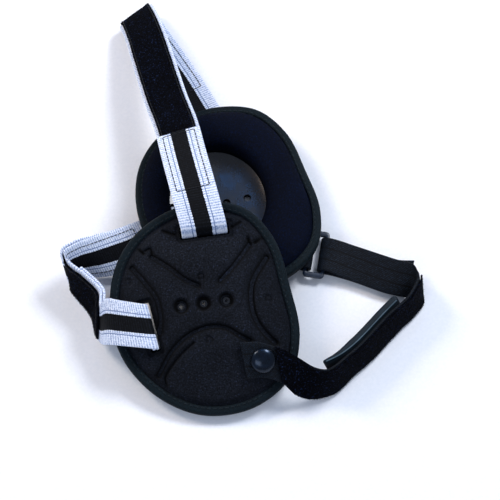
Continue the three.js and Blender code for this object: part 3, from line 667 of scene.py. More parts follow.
def striped_webbing():
    # Woven polypropylene webbing: white yarn with a broad black band and two fine grey lines, ribbed across.
    # Its colour is painted darker and bluer in the valleys between ribs and yarns: painted shade, with random
    # yarn tone.
    material, tree, spot = start_material("woven_polypropylene_webbing")
    along, across = weave_places(tree)
    # Weft ribs are 0.8 mm apart and warp yarns 0.9 mm wide; both are drawn coarser so that they show
    rib_pitch = 1.3
    yarn_pitch = 1.25
    rib = yarn_wave(tree, along, rib_pitch)
    yarn = yarn_wave(tree, across, yarn_pitch)
    weave = add(tree, "ShaderNodeMath", {"operation": "MULTIPLY_ADD", 1: 0.25}, {0: yarn, 2: rib})
    fray = add(tree, "ShaderNodeTexNoise", {"Scale": per_mm(0.8), "Detail": 2.0}, {"Vector": spot})
    # Distance from the middle of the width, with the weave's jagged edge
    ragged = add(tree, "ShaderNodeMath", {"operation": "MULTIPLY_ADD", 1: 0.5, 2: -0.25}, {0: fray})
    wander = add(tree, "ShaderNodeMath", {"operation": "MULTIPLY_ADD", 1: 0.1}, {0: rib, 2: ragged})
    middle = from_middle(tree, across, WEBBING_WIDTH)
    reach = add(tree, "ShaderNodeMath", {"operation": "ADD"}, {0: middle, 1: wander})
    band = add(tree, "ShaderNodeMath", {"operation": "LESS_THAN", 1: BAND_HALF}, {0: reach})
    line = add(tree, "ShaderNodeMath", {"operation": "COMPARE", 1: LINE_MIDDLE, 2: LINE_WIDTH / 2},
               {0: reach})
    # Painted shade: the colour follows the weave, darker in the rib valleys, plus random yarn tone from the
    # fray noise
    level = add(tree, "ShaderNodeMath", {"operation": "MULTIPLY_ADD", 1: 0.17}, {0: weave, 2: fray})
    white = add(tree, "ShaderNodeValToRGB",
                {"ramp": [(0.25, "#8fa1c4"), (0.50, "#d0daee"), (0.72, "#edf2fb")]}, {"Fac": level})
    lined = add(tree, "ShaderNodeMix", {"data_type": "RGBA", 7: linear("#6f83a8")}, {0: line, 6: white})
    black = add(tree, "ShaderNodeValToRGB",
                {"ramp": [(0.30, "#010204"), (0.55, "#05070c"), (0.85, "#14181f")]}, {"Fac": level})
    mixed = add(tree, "ShaderNodeMix", {"data_type": "RGBA"}, {0: band, 6: lined.outputs[2], 7: black})
    bump = add(tree, "ShaderNodeBump", {"Strength": 0.6, "Distance": 0.2 * MM}, {"Height": level})
    return finish_material(material, {
        "Roughness": 0.7, "IOR": 1.49, "Specular IOR Level": 0.12,
    }, {"Base Color": mixed.outputs[2], "Normal": bump})


def loop_pile():
    # Nylon loop pile of a hook and loop fastening: matt black loops, with a few bluish glints painted into
    # the colour as specks.
    material, tree, spot = start_material("nylon_loop_pile")
    # Loops are 0.4 mm; drawn at 0.75 mm so that they show
    pile_loop = 0.75
    loops = add(tree, "ShaderNodeTexVoronoi", {"Scale": per_mm(pile_loop)}, {"Vector": spot})
    tone_and_painted_glints = add(tree, "ShaderNodeTexNoise", {"Scale": per_mm(0.9), "Detail": 4.0, "Roughness": 0.75},
                 {"Vector": spot})
    # Painted glints: the top of the ramp puts bluish highlight specks into the colour; the rest is random
    # tone
    shade = add(tree, "ShaderNodeValToRGB",
                {"ramp": [(0.46, "#010103"), (0.58, "#05070d"), (0.72, "#2b3b62")]}, {"Fac": tone_and_painted_glints})
    bump = add(tree, "ShaderNodeBump", {"Strength": 0.8, "Distance": 0.35 * MM}, {"Height": loops})
    return finish_material(material, {
        "Roughness": 1.0, "IOR": 1.53, "Specular IOR Level": 0.06,
    }, {"Base Color": shade, "Normal": bump})


def charcoal_webbing():
    # Woven nylon webbing in charcoal: a slanting weave with two sunk lines along it, whose colour is painted
    # darker as shade.
    material, tree, spot = start_material("woven_nylon_webbing")
    along, across = weave_places(tree)
    # Yarns are 0.8 mm; drawn at 1.4 mm on the slant so that they show
    yarn_pitch = 1.4
    rising = add(tree, "ShaderNodeMath", {"operation": "ADD"}, {0: along, 1: across})
    falling = add(tree, "ShaderNodeMath", {"operation": "SUBTRACT"}, {0: along, 1: across})
    warp = yarn_wave(tree, rising, yarn_pitch)
    weft = yarn_wave(tree, falling, yarn_pitch)
    fray = add(tree, "ShaderNodeTexNoise", {"Scale": per_mm(0.8), "Detail": 2.0}, {"Vector": spot})
    middle = from_middle(tree, across, CHIN_WIDTH)
    line = add(tree, "ShaderNodeMath", {"operation": "COMPARE", 1: SUNK_LINE, 2: SUNK_HALF}, {0: middle})
    weave = add(tree, "ShaderNodeMath", {"operation": "MULTIPLY_ADD", 1: 0.4}, {0: weft, 2: warp})
    level = add(tree, "ShaderNodeMath", {"operation": "MULTIPLY_ADD", 1: 0.14}, {0: weave, 2: fray})
    # The sunk lines are both bumped down and painted darker: painted shade in them
    sunk_with_painted_shade = add(tree, "ShaderNodeMath", {"operation": "MULTIPLY_ADD", 1: -0.35}, {0: line, 2: level})
    shade = add(tree, "ShaderNodeValToRGB",
                {"ramp": [(0.20, "#010204"), (0.50, "#070b11"), (0.80, "#1a2532")]}, {"Fac": sunk_with_painted_shade})
    bump = add(tree, "ShaderNodeBump", {"Strength": 0.55, "Distance": 0.22 * MM}, {"Height": sunk_with_painted_shade})
    return finish_material(material, {
        "Roughness": 0.7, "IOR": 1.53, "Specular IOR Level": 0.12,
    }, {"Base Color": shade, "Normal": bump})


def skinned_foam(name, dark, light):
    # Closed-cell foam with its moulded skin: smooth grey teal with a soft satin light and tiny pores.
    material, tree, spot = start_material(name)
    pores = add(tree, "ShaderNodeTexNoise", {"Scale": per_mm(0.8), "Detail": 3.0}, {"Vector": spot})
    cloud = add(tree, "ShaderNodeTexNoise", {"Scale": per_mm(14), "Detail": 3.0}, {"Vector": spot})
    mottle = add(tree, "ShaderNodeMath", {"operation": "MULTIPLY", 1: 0.6}, {0: cloud})
    level = add(tree, "ShaderNodeMath", {"operation": "MULTIPLY_ADD", 1: 0.4}, {0: pores, 2: mottle})
    shade = add(tree, "ShaderNodeValToRGB", {"ramp": [(0.35, dark), (0.65, light)]}, {"Fac": level})
    bump = add(tree, "ShaderNodeBump", {"Strength": 0.25, "Distance": 0.1 * MM}, {"Height": pores})
    return finish_material(material, {
        "Roughness": 0.6, "IOR": 1.45, "Sheen Weight": 0.03, "Sheen Roughness": 0.5,
        "Specular IOR Level": 0.2,
    }, {"Base Color": shade, "Normal": bump})


def lacquered_brass():
    # Drawn brass snap cap under black lacquer: dark, with a broad satin highlight and fine rubs.
    material, tree, spot = start_material("black_lacquered_brass")
    rub = add(tree, "ShaderNodeTexNoise", {"Scale": per_mm(2.5), "Detail": 5.0, "Roughness": 0.7},
              {"Vector": spot})
    shade = add(tree, "ShaderNodeValToRGB", {"ramp": [(0.35, "#0b141f"), (0.8, "#152537")]}, {"Fac": rub})
    gloss = add(tree, "ShaderNodeMapRange", {1: 0.3, 2: 0.75, 3: 0.24, 4: 0.34}, {0: rub})
    return finish_material(material, {
        "Metallic": 0.9, "Coat Weight": 0.25, "Coat Roughness": 0.16,
    }, {"Base Color": shade, "Roughness": gloss})


def sewing_thread(name, dark, light):
    # Twisted polyester thread: a slight shine on each stitch.
    material, tree, spot = start_material(name)
    ply = add(tree, "ShaderNodeTexNoise", {"Scale": per_mm(0.5), "Detail": 2.0}, {"Vector": spot})
    shade = add(tree, "ShaderNodeValToRGB", {"ramp": [(0.35, dark), (0.7, light)]}, {"Fac": ply})
    return finish_material(material, {
        "Roughness": 0.6, "IOR": 1.5, "Specular IOR Level": 0.2,
    }, {"Base Color": shade})


cover_cloth = moulded_jersey(
    "polyester_jersey_on_foam", "#080a0e", "#1b1f27", "#40363a", "#34456a", fleck_size=0.85, sheen=0.02)
lining_cloth = moulded_jersey(
    "brushed_nylon_lining", "#01030b", "#020a1f", "#040f2a", "#0e2450", fleck_size=0.9, sheen=0.0)
tape_cloth = twill_tape()
shell_plastic = moulded_plastic("moulded_abs_shell", "#01030a", "#030914", 0.2)
buckle_plastic = moulded_plastic("moulded_acetal_buckle", "#0a1422", "#182a40", 0.26)
white_weave = striped_webbing()
pile_cloth = loop_pile()
dark_weave = charcoal_webbing()
pad_foam = skinned_foam("skinned_closed_cell_foam", "#0b151c", "#14222c")
edging_foam = skinned_foam("cut_foam_edge", "#33444f", "#50646f")
snap_metal = lacquered_brass()
tape_thread = sewing_thread("polyester_thread_grey", "#04090d", "#12222b")
black_thread = sewing_thread("polyester_thread_black", "#050608", "#1c1f26")


# Fine cup pieces

AROUND = 480
COVER_ROWS = 84
FLANGE_INSET = BINDING_WIDTH + SEAM_GAP
EDGE_INSET = BINDING_WALL + BINDING_ROOM
FLANGE_TOP = SEAM_GAP / 2 + FLANGE_WALL
COVER_INSIDE = (0.84, 0.76, 0.66, 0.56, 0.48, FLAT_SHARE, 0.2, 0.02)
PANEL_SINK = 0.8
PANEL_SOFT = 4.5
SHOULDER = 3.6
DEEP_GROOVE = 2.0
# Painted shade in the cover's grooves: the relief depth in mm where it is darkest, and the curve of its rise
GROOVE_SHADE_FULL = 1.9
GROOVE_SHADE_CURVE = 1.3
EDGE_RISE = 0.12
# The right shell's holes are drawn small, so that the right cup's vents look dark
SHELL_HOLES = {"right": 1.8, "left": 4.4}
CUT_EDGE = math.radians(42)
STRAP_EDGE = math.radians(70)
PAD_STRETCH = (30, 1, 1)
PAD_PUCKER = 0.2
PAD_TUCKS = (31, 43, 58, 71)
TAPE_ROUND = 1.7
TAPE_FLAT = 2.6
TAPE_SEAM = 3.9
TAPE_SWELL = 0.12

angles = np.linspace(0, 2 * math.pi, AROUND, endpoint=False)
rim_radii = edge_radius(angles)


def smooth_step(value):
    """0 to 1 with a soft start and a soft end."""
    t = np.clip(value, 0, 1)
    return t * t * (3 - 2 * t)


def distance_to_line(spots, line):
    """Distance from each spot to the nearest part of a line of points."""
    best = np.full(len(spots), 1e9)
    for a, b in zip(line[:-1], line[1:]):
        span = b - a
        t = np.clip(((spots - a) @ span) / (span @ span), 0, 1)
        best = np.minimum(best, np.hypot(*(spots - a - t[:, None] * span).T))
    return best


def slot_distance(spots, slot):
    """Distance outside a strap slot's opening, negative inside it."""
    offset = spots - shares_to_mm(slot["middle"])
    turn, lean = math.cos(slot["angle"]), math.sin(slot["angle"])
    along = offset[:, 0] * turn + offset[:, 1] * lean
    over = -offset[:, 0] * lean + offset[:, 1] * turn + (slot["low"] + slot["high"]) / 2
    out = np.column_stack([np.abs(along) - WEBBING_WIDTH / 2 - SLOT_ROOM,
                           np.abs(over) - (slot["high"] - slot["low"]) / 2 - SLOT_ROOM])
    return np.hypot(*np.maximum(out, 0).T) + np.minimum(out.max(axis=1), 0)


def cover_relief(spots):
    """Grooves, marks, vent pits and slot lips of the outer cover, all below the plain dome."""
    relief = np.zeros(len(spots))
    nearest = np.full(len(spots), 1e9)
    for groove in GROOVES:
        spline = Spline([shares_to_mm(row) for row in groove["rows"]])
        line = np.array([spline.at(t) for t in np.linspace(0, 1, 41)])
        away = distance_to_line(spots, line)
        relief = np.minimum(relief, -groove["depth"] * np.exp(-(away / groove["half"]) ** 2))
        if groove["depth"] > DEEP_GROOVE:
            nearest = np.minimum(nearest, away)
    for mark in MARKS:
        centre = shares_to_mm(mark)
        turn = np.linspace(-0.25 * math.pi, 1.25 * math.pi, 13)
        line = centre + MARK_RADIUS * np.column_stack([np.cos(turn), np.sin(turn)])
        relief = np.minimum(relief, -MARK_DEPTH * np.exp(-(distance_to_line(spots, line) / MARK_HALF) ** 2))
    relief -= PANEL_SINK * np.exp(-(nearest / PANEL_SOFT) ** 2)
    for x, y in VENTS:
        away = np.hypot(spots[:, 0] - x, spots[:, 1] - y)
        relief -= VENT_SINK * smooth_step((VENT_PIT / 2 + PIT_ROUND - away) / PIT_SLOPE)
    for slot in (CROWN_SLOT, BACK_SLOT):
        relief -= LIP_SINK * smooth_step((LIP_REACH - slot_distance(spots, slot)) / LIP_SLOPE)
    return relief


def polar(radii, heights):
    """Ring points at these radii and heights, one of each for every direction."""
    heights = np.broadcast_to(heights, radii.shape)
    return np.column_stack([radii * np.cos(angles), radii * np.sin(angles), heights])


def cup_piece(name, cup, rings, material, uvs=None, closed=True):
    """Rings joined in turn; closed joins the last to the first, otherwise both ends get a middle point."""
    verts = np.concatenate(rings)
    count = len(angles)
    faces = ring_faces(len(rings), count)
    if closed:
        faces += joining_faces(len(rings), count)
    else:
        for start in (0, (len(rings) - 1) * count):
            centre = len(verts)
            verts = np.concatenate([verts, verts[start:start + count].mean(axis=0)[None]])
            faces += [(centre, start + i, start + (i + 1) % count) for i in range(count)]
    return make_mesh(name, to_frame(cup.place(verts)), faces, material, uvs=uvs)


def prism(name, cup, loop, low, high):
    """A cutter: a flat loop drawn through the cup."""
    count = len(loop)
    verts = [(x, y, low) for x, y in loop] + [(x, y, high) for x, y in loop]
    faces = [tuple(range(count - 1, -1, -1)), tuple(range(count, 2 * count))]
    faces += [(i, (i + 1) % count, count + (i + 1) % count, count + i) for i in range(count)]
    return make_mesh(name, to_frame(cup.place(verts)), faces, cover_cloth)


def slot_loop(slot):
    """Rounded outline of a strap slot."""
    half_long = WEBBING_WIDTH / 2 + SLOT_ROOM
    half_deep = (slot["high"] - slot["low"]) / 2 + SLOT_ROOM
    points = rounded_loop(half_long, half_deep, SLOT_CORNER, 4) - [0, (slot["low"] + slot["high"]) / 2]
    turn, lean = math.cos(slot["angle"]), math.sin(slot["angle"])
    return points @ np.array([[turn, lean], [-lean, turn]]) + shares_to_mm(slot["middle"])


def cut_openings(piece, cup, vent_hole):
    """Cuts the vents and the strap slots through a cup piece."""
    ring = np.linspace(0, 2 * math.pi, 32, endpoint=False)
    loops = [np.column_stack([x + vent_hole / 2 * np.cos(ring), y + vent_hole / 2 * np.sin(ring)])
             for x, y in VENTS]
    loops += [slot_loop(CROWN_SLOT), slot_loop(BACK_SLOT)]
    cutters = [prism(f"cutter_{i}", cup, loop, -2 * CUP_DOME, 2 * CUP_DOME) for i, loop in enumerate(loops)]
    for cutter in cutters:
        cut = piece.modifiers.new("cut", "BOOLEAN")
        cut.operation = "DIFFERENCE"
        cut.solver = "MANIFOLD"
        cut.object = cutter
    apply_modifiers(piece)
    for cutter in cutters:
        mesh = cutter.data
        bpy.data.objects.remove(cutter)
        bpy.data.meshes.remove(mesh)
    piece.data.set_sharp_from_angle(angle=CUT_EDGE)


def apply_modifiers(piece):
    """Replaces a piece's mesh by what its modifiers make of it."""
    graph = bpy.context.evaluated_depsgraph_get()
    mesh = bpy.data.meshes.new_from_object(piece.evaluated_get(graph))
    old = piece.data
    piece.modifiers.clear()
    piece.data = mesh
    mesh.name = piece.name
    bpy.data.meshes.remove(old)


# The relief is the same on both cups
cover_ways = np.linspace(0.006, 1, COVER_ROWS)
cover_spots = np.concatenate([polar((rim_radii - FLANGE_INSET) * way, 0)[:, :2] for way in cover_ways])
cover_shares = np.concatenate([(rim_radii - FLANGE_INSET) * way / rim_radii for way in cover_ways])
cover_edge = np.concatenate([(rim_radii - FLANGE_INSET) * (1 - way) for way in cover_ways])
shoulder = smooth_step(cover_edge / SHOULDER)
cover_top = cover_height(cover_shares) + cover_relief(cover_spots) * shoulder
cover_rise = (cover_top - FLANGE_TOP) * (EDGE_RISE + (1 - EDGE_RISE) * shoulder)
cover_top = np.maximum(FLANGE_TOP + cover_rise, FLANGE_TOP)


def make_cover(cup):
    """The foam cover's moulded fabric face. It carries a value for its cloth that paints shade where the
    relief sinks below the plain dome.
    """
    relief_points = np.column_stack([cover_spots, cover_top])
    rings = [relief_points[k * AROUND:(k + 1) * AROUND] for k in range(COVER_ROWS)]
    rings.append(polar(rim_radii - EDGE_INSET, FLANGE_TOP))
    rings.append(polar(rim_radii - EDGE_INSET, SEAM_GAP / 2))
    rings.append(polar(rim_radii - FLANGE_INSET, SEAM_GAP / 2))
    for share in COVER_INSIDE:
        rings.append(polar(rim_radii * share, cover_height(share) - COVER_WALL))
    name = f"{cup.side}_cover_fabric"
    piece = cup_piece(name, cup, rings, cover_cloth, closed=False)
    # Painted shade: how far the relief sinks, as a share from 0 to 1, for darkening the cloth's colour
    depth = np.zeros(len(piece.data.vertices))
    depth[:len(cover_spots)] = np.clip(-cover_relief(cover_spots) / GROOVE_SHADE_FULL, 0, 1) ** GROOVE_SHADE_CURVE
    nearest = KDTree(len(depth))
    for index, vertex in enumerate(piece.data.vertices):
        nearest.insert(vertex.co, index)
    nearest.balance()
    cut_openings(piece, cup, VENT_HOLE)
    pressed = np.array([depth[nearest.find(vertex.co)[1]] for vertex in piece.data.vertices], np.float32)
    piece.data.attributes.new("pressed", "FLOAT", "POINT").data.foreach_set("value", pressed)
    return finish_piece(piece, "foam_fabric", f"{cup.side}_cup_cover")


def make_shell(cup, hole):
    """The hard dome under the cover, cut through for the vents and the straps."""
    shares = (0.02, 0.14, 0.28, FLAT_SHARE, 0.48, 0.54, 0.60, 0.66, 0.72, 0.78, SHELL_SHARE)
    rings = [polar(rim_radii * share, shell_top(share)) for share in shares]
    rings += [polar(rim_radii * share, shell_top(share) - SHELL_WALL) for share in reversed(shares)]
    piece = cup_piece(f"{cup.side}_shell", cup, rings, shell_plastic, closed=False)
    cut_openings(piece, cup, hole)
    return finish_piece(piece, "hard_plastic", f"{cup.side}_cup_shell")


def pad_section():
    """The pad's face from the ear hollow out to the tape, as way, height and pucker."""
    rows = [(0.0, 3.2, 0), (0.004, 1.0, 0), (0.02, -PAD_BULGE * 0.2, 0.3), (0.07, -PAD_BULGE * 0.5, 0.7),
            (0.16, -PAD_BULGE * 0.76, 0.5), (0.28, -PAD_BULGE * 0.93, 0.2), (0.42, -PAD_BULGE, 0.1),
            (0.56, -PAD_BULGE * 0.95, 0.2), (0.68, -PAD_BULGE * 0.82, 0.6), (0.79, -PAD_BULGE * 0.60, 1.0)]
    spline = Spline([np.array(row, float) * PAD_STRETCH for row in rows])
    return np.array([spline.at(t) for t in np.linspace(0, 1, 34)]) / PAD_STRETCH


def hollow_to_rim(way):
    """x and y between the ear hollow's edge (way 0) and the cup's edge (way 1)."""
    inner_x = HOLLOW_SHIFT + HOLLOW_WIDTH / 2 * np.cos(angles)
    inner = np.column_stack([inner_x, HOLLOW_HEIGHT / 2 * np.sin(angles)])
    outer = polar(rim_radii, 0)[:, :2]
    return inner + (outer - inner) * way


def under_shell(spots):
    """Height just under the shell, or under its edge where the shell ends."""
    share = share_at(spots[:, 0], spots[:, 1])
    return shell_top(np.minimum(share, SHELL_SHARE)) - SHELL_WALL - SEAM_GAP


def make_pad(cup):
    """The padded ring round the ear, with small puckers along its seams."""
    phases = rng.uniform(0, 2 * math.pi, 4)
    tucks = sum(np.sin(count * angles + phase) for count, phase in zip(PAD_TUCKS, phases)) / 4
    rings = []
    first = hollow_to_rim(0)
    rings.append(np.column_stack([first, under_shell(first)]))
    for way, height, pucker in pad_section():
        spots = hollow_to_rim(way)
        rings.append(np.column_stack([spots, height + PAD_PUCKER * pucker * tucks]))
    for inset, height in ((FLANGE_INSET + 0.4, -FLANGE_TOP - 0.7), (FLANGE_INSET, -FLANGE_TOP),
                          (EDGE_INSET, -FLANGE_TOP), (EDGE_INSET, -SEAM_GAP / 2),
                          (FLANGE_INSET, -SEAM_GAP / 2)):
        rings.append(polar(rim_radii - inset, height))
    pad_back = float(shell_top(SHELL_SHARE)) - SHELL_WALL - SEAM_GAP
    for way in (0.5, 0.25):
        rings.append(np.column_stack([hollow_to_rim(way), np.full(AROUND, pad_back)]))
    piece = cup_piece(f"{cup.side}_ear_pad", cup, rings, lining_cloth)
    return finish_piece(piece, "lining_fabric", f"{cup.side}_cup_pad")


def make_binding(cup):
    """The edge tape, folded over the rim and sewn through on both faces."""
    inner = FLANGE_TOP + BINDING_ROOM
    outer = inner + BINDING_WALL
    face = [(BINDING_WIDTH, inner), (BINDING_WIDTH + 0.1, inner + 0.5),
            (BINDING_WIDTH - 0.2, outer - TAPE_SWELL), (TAPE_SEAM, outer - 0.16), (TAPE_FLAT, outer)]
    section = list(face)
    for step in range(11):
        angle = math.pi * (0.5 - step / 10)
        section.append((TAPE_ROUND - TAPE_ROUND * math.cos(angle), outer * math.sin(angle)))
    section += [(inset, -height) for inset, height in reversed(face)]
    section += [(EDGE_INSET, -inner), (EDGE_INSET, inner)]
    rings = [polar(rim_radii - inset, height) for inset, height in section]
    lengths = path_lengths(polar(rim_radii, 0))
    over = path_lengths(np.array(section))
    uvs = np.concatenate([np.column_stack([lengths, np.full(AROUND, way)]) for way in over])
    piece = cup_piece(f"{cup.side}_edge_tape", cup, rings, tape_cloth, uvs=uvs)
    finish_piece(piece, "edge_tape", f"{cup.side}_cup_binding")
    runs = []
    for sign in (1, -1):
        ring = polar(rim_radii - TAPE_SEAM, sign * (outer - TAPE_SWELL))
        ring = np.concatenate([ring, ring[:1]])
        normals = np.tile([0, 0, sign], (len(ring), 1)).astype(float)
        spots = cup.place(ring)
        ups = cup.place(ring + normals) - spots
        runs.append((spots, ups))
    thread = stitches(f"{cup.side}_tape_stitches", runs, tape_thread, **TAPE_STITCH)
    finish_piece(thread, "edge_tape")


def stitches(name, runs, material, pitch, length, radius):
    """Thread stitches along lines of points: each dips into the cloth at both ends."""
    verts, faces = [], []
    turns = np.linspace(0, 2 * math.pi, STITCH_SIDES, endpoint=False)
    shape = [(0.0, -1.6), (0.16, 0.1), (0.5, 0.55), (0.84, 0.1), (1.0, -1.6)]
    stitch_faces = ring_faces(len(shape), STITCH_SIDES) + end_faces(len(shape), STITCH_SIDES)
    for spots, ups in runs:
        lengths = path_lengths(spots)
        count = max(1, int(lengths[-1] / pitch))
        for k in range(count):
            begin = (k + 0.5) * lengths[-1] / count - length / 2
            places = [begin + way * length for way, _ in shape]
            line = np.array([[np.interp(p, lengths, spots[:, c]) for c in range(3)] for p in places])
            up = unit(np.array([np.interp(begin + length / 2, lengths, ups[:, c]) for c in range(3)]))
            along = unit(line[-1] - line[0])
            side = np.cross(up, along)
            first = len(verts)
            for spot, (_, lift) in zip(line, shape):
                for turn in turns:
                    rise = up * (lift + math.sin(turn))
                    verts.append(spot + radius * (rise + side * 1.15 * math.cos(turn)))
            faces += [tuple(first + v for v in face) for face in stitch_faces]
    return make_mesh(name, to_frame(verts), faces, material)


# Straps

def strap_rows(path, start, end, step):
    """Sections of a strap at even steps of length, as length, edge, across and out."""
    first, final = path.length_at(start), path.length_at(end)
    count = max(2, round((final - first) / step))
    return [(length, *path.frame(path.place_at(length))) for length in np.linspace(first, final, count + 1)]


def flat_section(half, low, high, corner, across_steps=10):
    """A flat strap's section as across and offset, with rounded edges."""
    middle = (low + high) / 2
    half_thick = (high - low) / 2
    top = []
    for step in range(4):
        angle = math.pi - step / 3 * math.pi / 2
        top.append((-half + corner + corner * math.cos(angle),
                    middle + half_thick - corner + corner * math.sin(angle)))
    for step in range(1, across_steps):
        top.append((-half + corner + 2 * (half - corner) * step / across_steps, middle + half_thick))
    top += [(-across, offset) for across, offset in reversed(top[:4])]
    return top + [(across, 2 * middle - offset) for across, offset in reversed(top)]


def swept(name, rows, section_at, material, width):
    """A closed piece along strap rows. section_at gives the section for a row."""
    verts, uvs = [], []
    for index, (length, edge, across, out) in enumerate(rows):
        for way, offset in section_at(index, length):
            verts.append(edge + across * (width / 2 + way) + out * offset)
            uvs.append((length, width / 2 + way))
    count = len(verts) // len(rows)
    faces = ring_faces(len(rows), count) + end_faces(len(rows), count)
    return make_mesh(name, to_frame(verts), faces, material, uvs=uvs)


def make_strap(name, node, path, start, end, low, wall, material, slot, step=1.3):
    """A stretch of webbing between two places on a path, low mm out from it."""
    rows = strap_rows(path, start, end, step)
    section = flat_section(path.width / 2, low, low + wall, STRAP_CORNER)
    piece = swept(name, rows, lambda index, length: section, material, path.width)
    piece.data.set_sharp_from_angle(angle=STRAP_EDGE)
    return finish_piece(piece, slot, node)


def white_strap(name, node, path, start, end, low):
    return make_strap(name, node, path, start, end, low, WEBBING_WALL, white_weave, "white_webbing")


def dark_strap(name, node, path, step=1.3):
    return make_strap(name, node, path, 0, path.last, 0, CHIN_WALL, dark_weave, "dark_webbing", step)


def fuzz_fibres(name, path, start, end, top, margin):
    """Short fibres that stand up from a pile's face and lean out over its edges."""
    rows = strap_rows(path, start, end, 1.0)
    half = path.width / 2 - margin
    total = int((rows[-1][0] - rows[0][0]) * 2 * half * FIBRES_PER_SQUARE_MM)
    picks = rng.uniform(0, len(rows) - 1, total)
    places = rng.uniform(-half, half, total)
    edge_share = rng.uniform(0, 1, total) < 0.22
    places[edge_share] = np.sign(places[edge_share]) * half * rng.uniform(0.97, 1.0, int(edge_share.sum()))
    leans = rng.normal(0, 0.55, (total, 2))
    lengths = FIBRE_LENGTH * rng.uniform(0.45, 1.0, total)
    verts, faces = [], []
    for pick, place, lean, size, edged in zip(picks, places, leans, lengths, edge_share):
        low = int(pick)
        share = pick - low
        _, edge_a, across_a, out_a = rows[low]
        _, edge_b, across_b, out_b = rows[min(low + 1, len(rows) - 1)]
        across = unit(across_a * (1 - share) + across_b * share)
        out = unit(out_a * (1 - share) + out_b * share)
        along = np.cross(across, out)
        edge = edge_a * (1 - share) + edge_b * share
        spot = edge + across * (path.width / 2 + place) + out * (top - 0.12)
        aim = out + along * lean[0] + across * (lean[1] * 0.6 + (1.1 * np.sign(place) if edged else 0))
        tip = spot + unit(aim) * size
        first = len(verts)
        for turn in (0, 2.1, 4.2):
            verts.append(spot + FIBRE_RADIUS * (across * math.cos(turn) + along * math.sin(turn)))
        verts.append(tip)
        faces += [(first, first + 1, first + 3), (first + 1, first + 2, first + 3),
                  (first + 2, first, first + 3), (first + 2, first + 1, first)]
    return make_mesh(name, to_frame(verts), faces, pile_cloth, smooth=False)


def make_pile(name, node, path, places, low, margin, bare):
    """Pile with a bumpy face, and loose fibres on its bare stretch, where no tail lies over it."""
    rows = strap_rows(path, *places, 0.9)
    high = low + PILE_WALL
    half = path.width / 2 - margin
    section = flat_section(half, low, high, 0.5, across_steps=24)
    bumps = rng.uniform(-1, 1, (len(rows), len(section)))

    def uneven(index, length):
        return [(way + 0.22 * bumps[index, k] * (abs(way) > half - 0.7),
                 offset - (0.16 * abs(bumps[index, k]) if offset > (low + high) / 2 else 0))
                for k, (way, offset) in enumerate(section)]

    piece = swept(name, rows, uneven, pile_cloth, path.width)
    finish_piece(piece, "black_pile", node)
    fibres = fuzz_fibres(f"{name}_fibres", path, *bare, high, margin)
    finish_piece(fibres, "black_pile")


def seam_run(path, offset, marks, facing=1):
    """A line of stitching through (length, across) marks on one face of a strap."""
    spots, ups = [], []
    for (length_a, across_a), (length_b, across_b) in zip(marks[:-1], marks[1:]):
        count = max(2, int(math.hypot(length_b - length_a, across_b - across_a) / 0.8))
        for share in np.linspace(0, 1, count + 1):
            edge, across, out = path.frame(path.place_at(length_a + (length_b - length_a) * share))
            way = across_a + (across_b - across_a) * share
            spots.append(edge + across * way + out * offset)
            ups.append(out * facing)
    return np.array(spots), np.array(ups)


def box_seam(name, slot, path, offset, begin, final, inset, facing=1):
    """A box of stitching along both edges between two lengths and across its ends."""
    wide = path.width - inset
    sides = [[(begin, inset), (final, inset)], [(begin, wide), (final, wide)],
             [(begin, inset), (begin, wide)], [(final, inset), (final, wide)]]
    runs = [seam_run(path, offset + facing * SEAM_LIFT, marks, facing) for marks in sides]
    return finish_piece(stitches(name, runs, black_thread, **STRAP_STITCH), slot)


for cup in (right_cup, left_cup):
    make_cover(cup)
    make_shell(cup, SHELL_HOLES[cup.side])
    make_pad(cup)
    make_binding(cup)

white_strap("crown_webbing", "crown_strap", crown_path, 0, crown_path.last, 0)
make_pile("crown_loop_pile", "crown_pile", crown_path, CROWN_PILE, PILE_LOW, PILE_MARGIN, CROWN_PILE_BARE)
white_strap("crown_webbing_tail", "crown_tail", crown_path, 0, CROWN_TAIL_END, TAIL_OFFSET)
white_strap("back_webbing", "back_strap", back_path, 0, back_path.last, 0)
make_pile("back_loop_pile", "back_pile", back_path, BACK_PILE, PILE_LOW, PILE_MARGIN, BACK_PILE_BARE)
white_strap("back_webbing_outer_tail", "back_outer_tail", back_path, *BACK_OUTER_TAIL, TAIL_OFFSET)
white_strap("back_webbing_inner_tail", "back_inner_tail", back_path, 0, BACK_INNER_TAIL_END,
            INNER_TAIL_OFFSET)
dark_strap("chin_webbing", "chin_strap", chin_path)
make_pile("chin_loop_pile", "chin_pile", chin_path, CHIN_PILE, CHIN_PILE_LOW, 0, CHIN_PILE)
dark_strap("buckle_tab_webbing", "buckle_tab", tab_path, step=0.6)


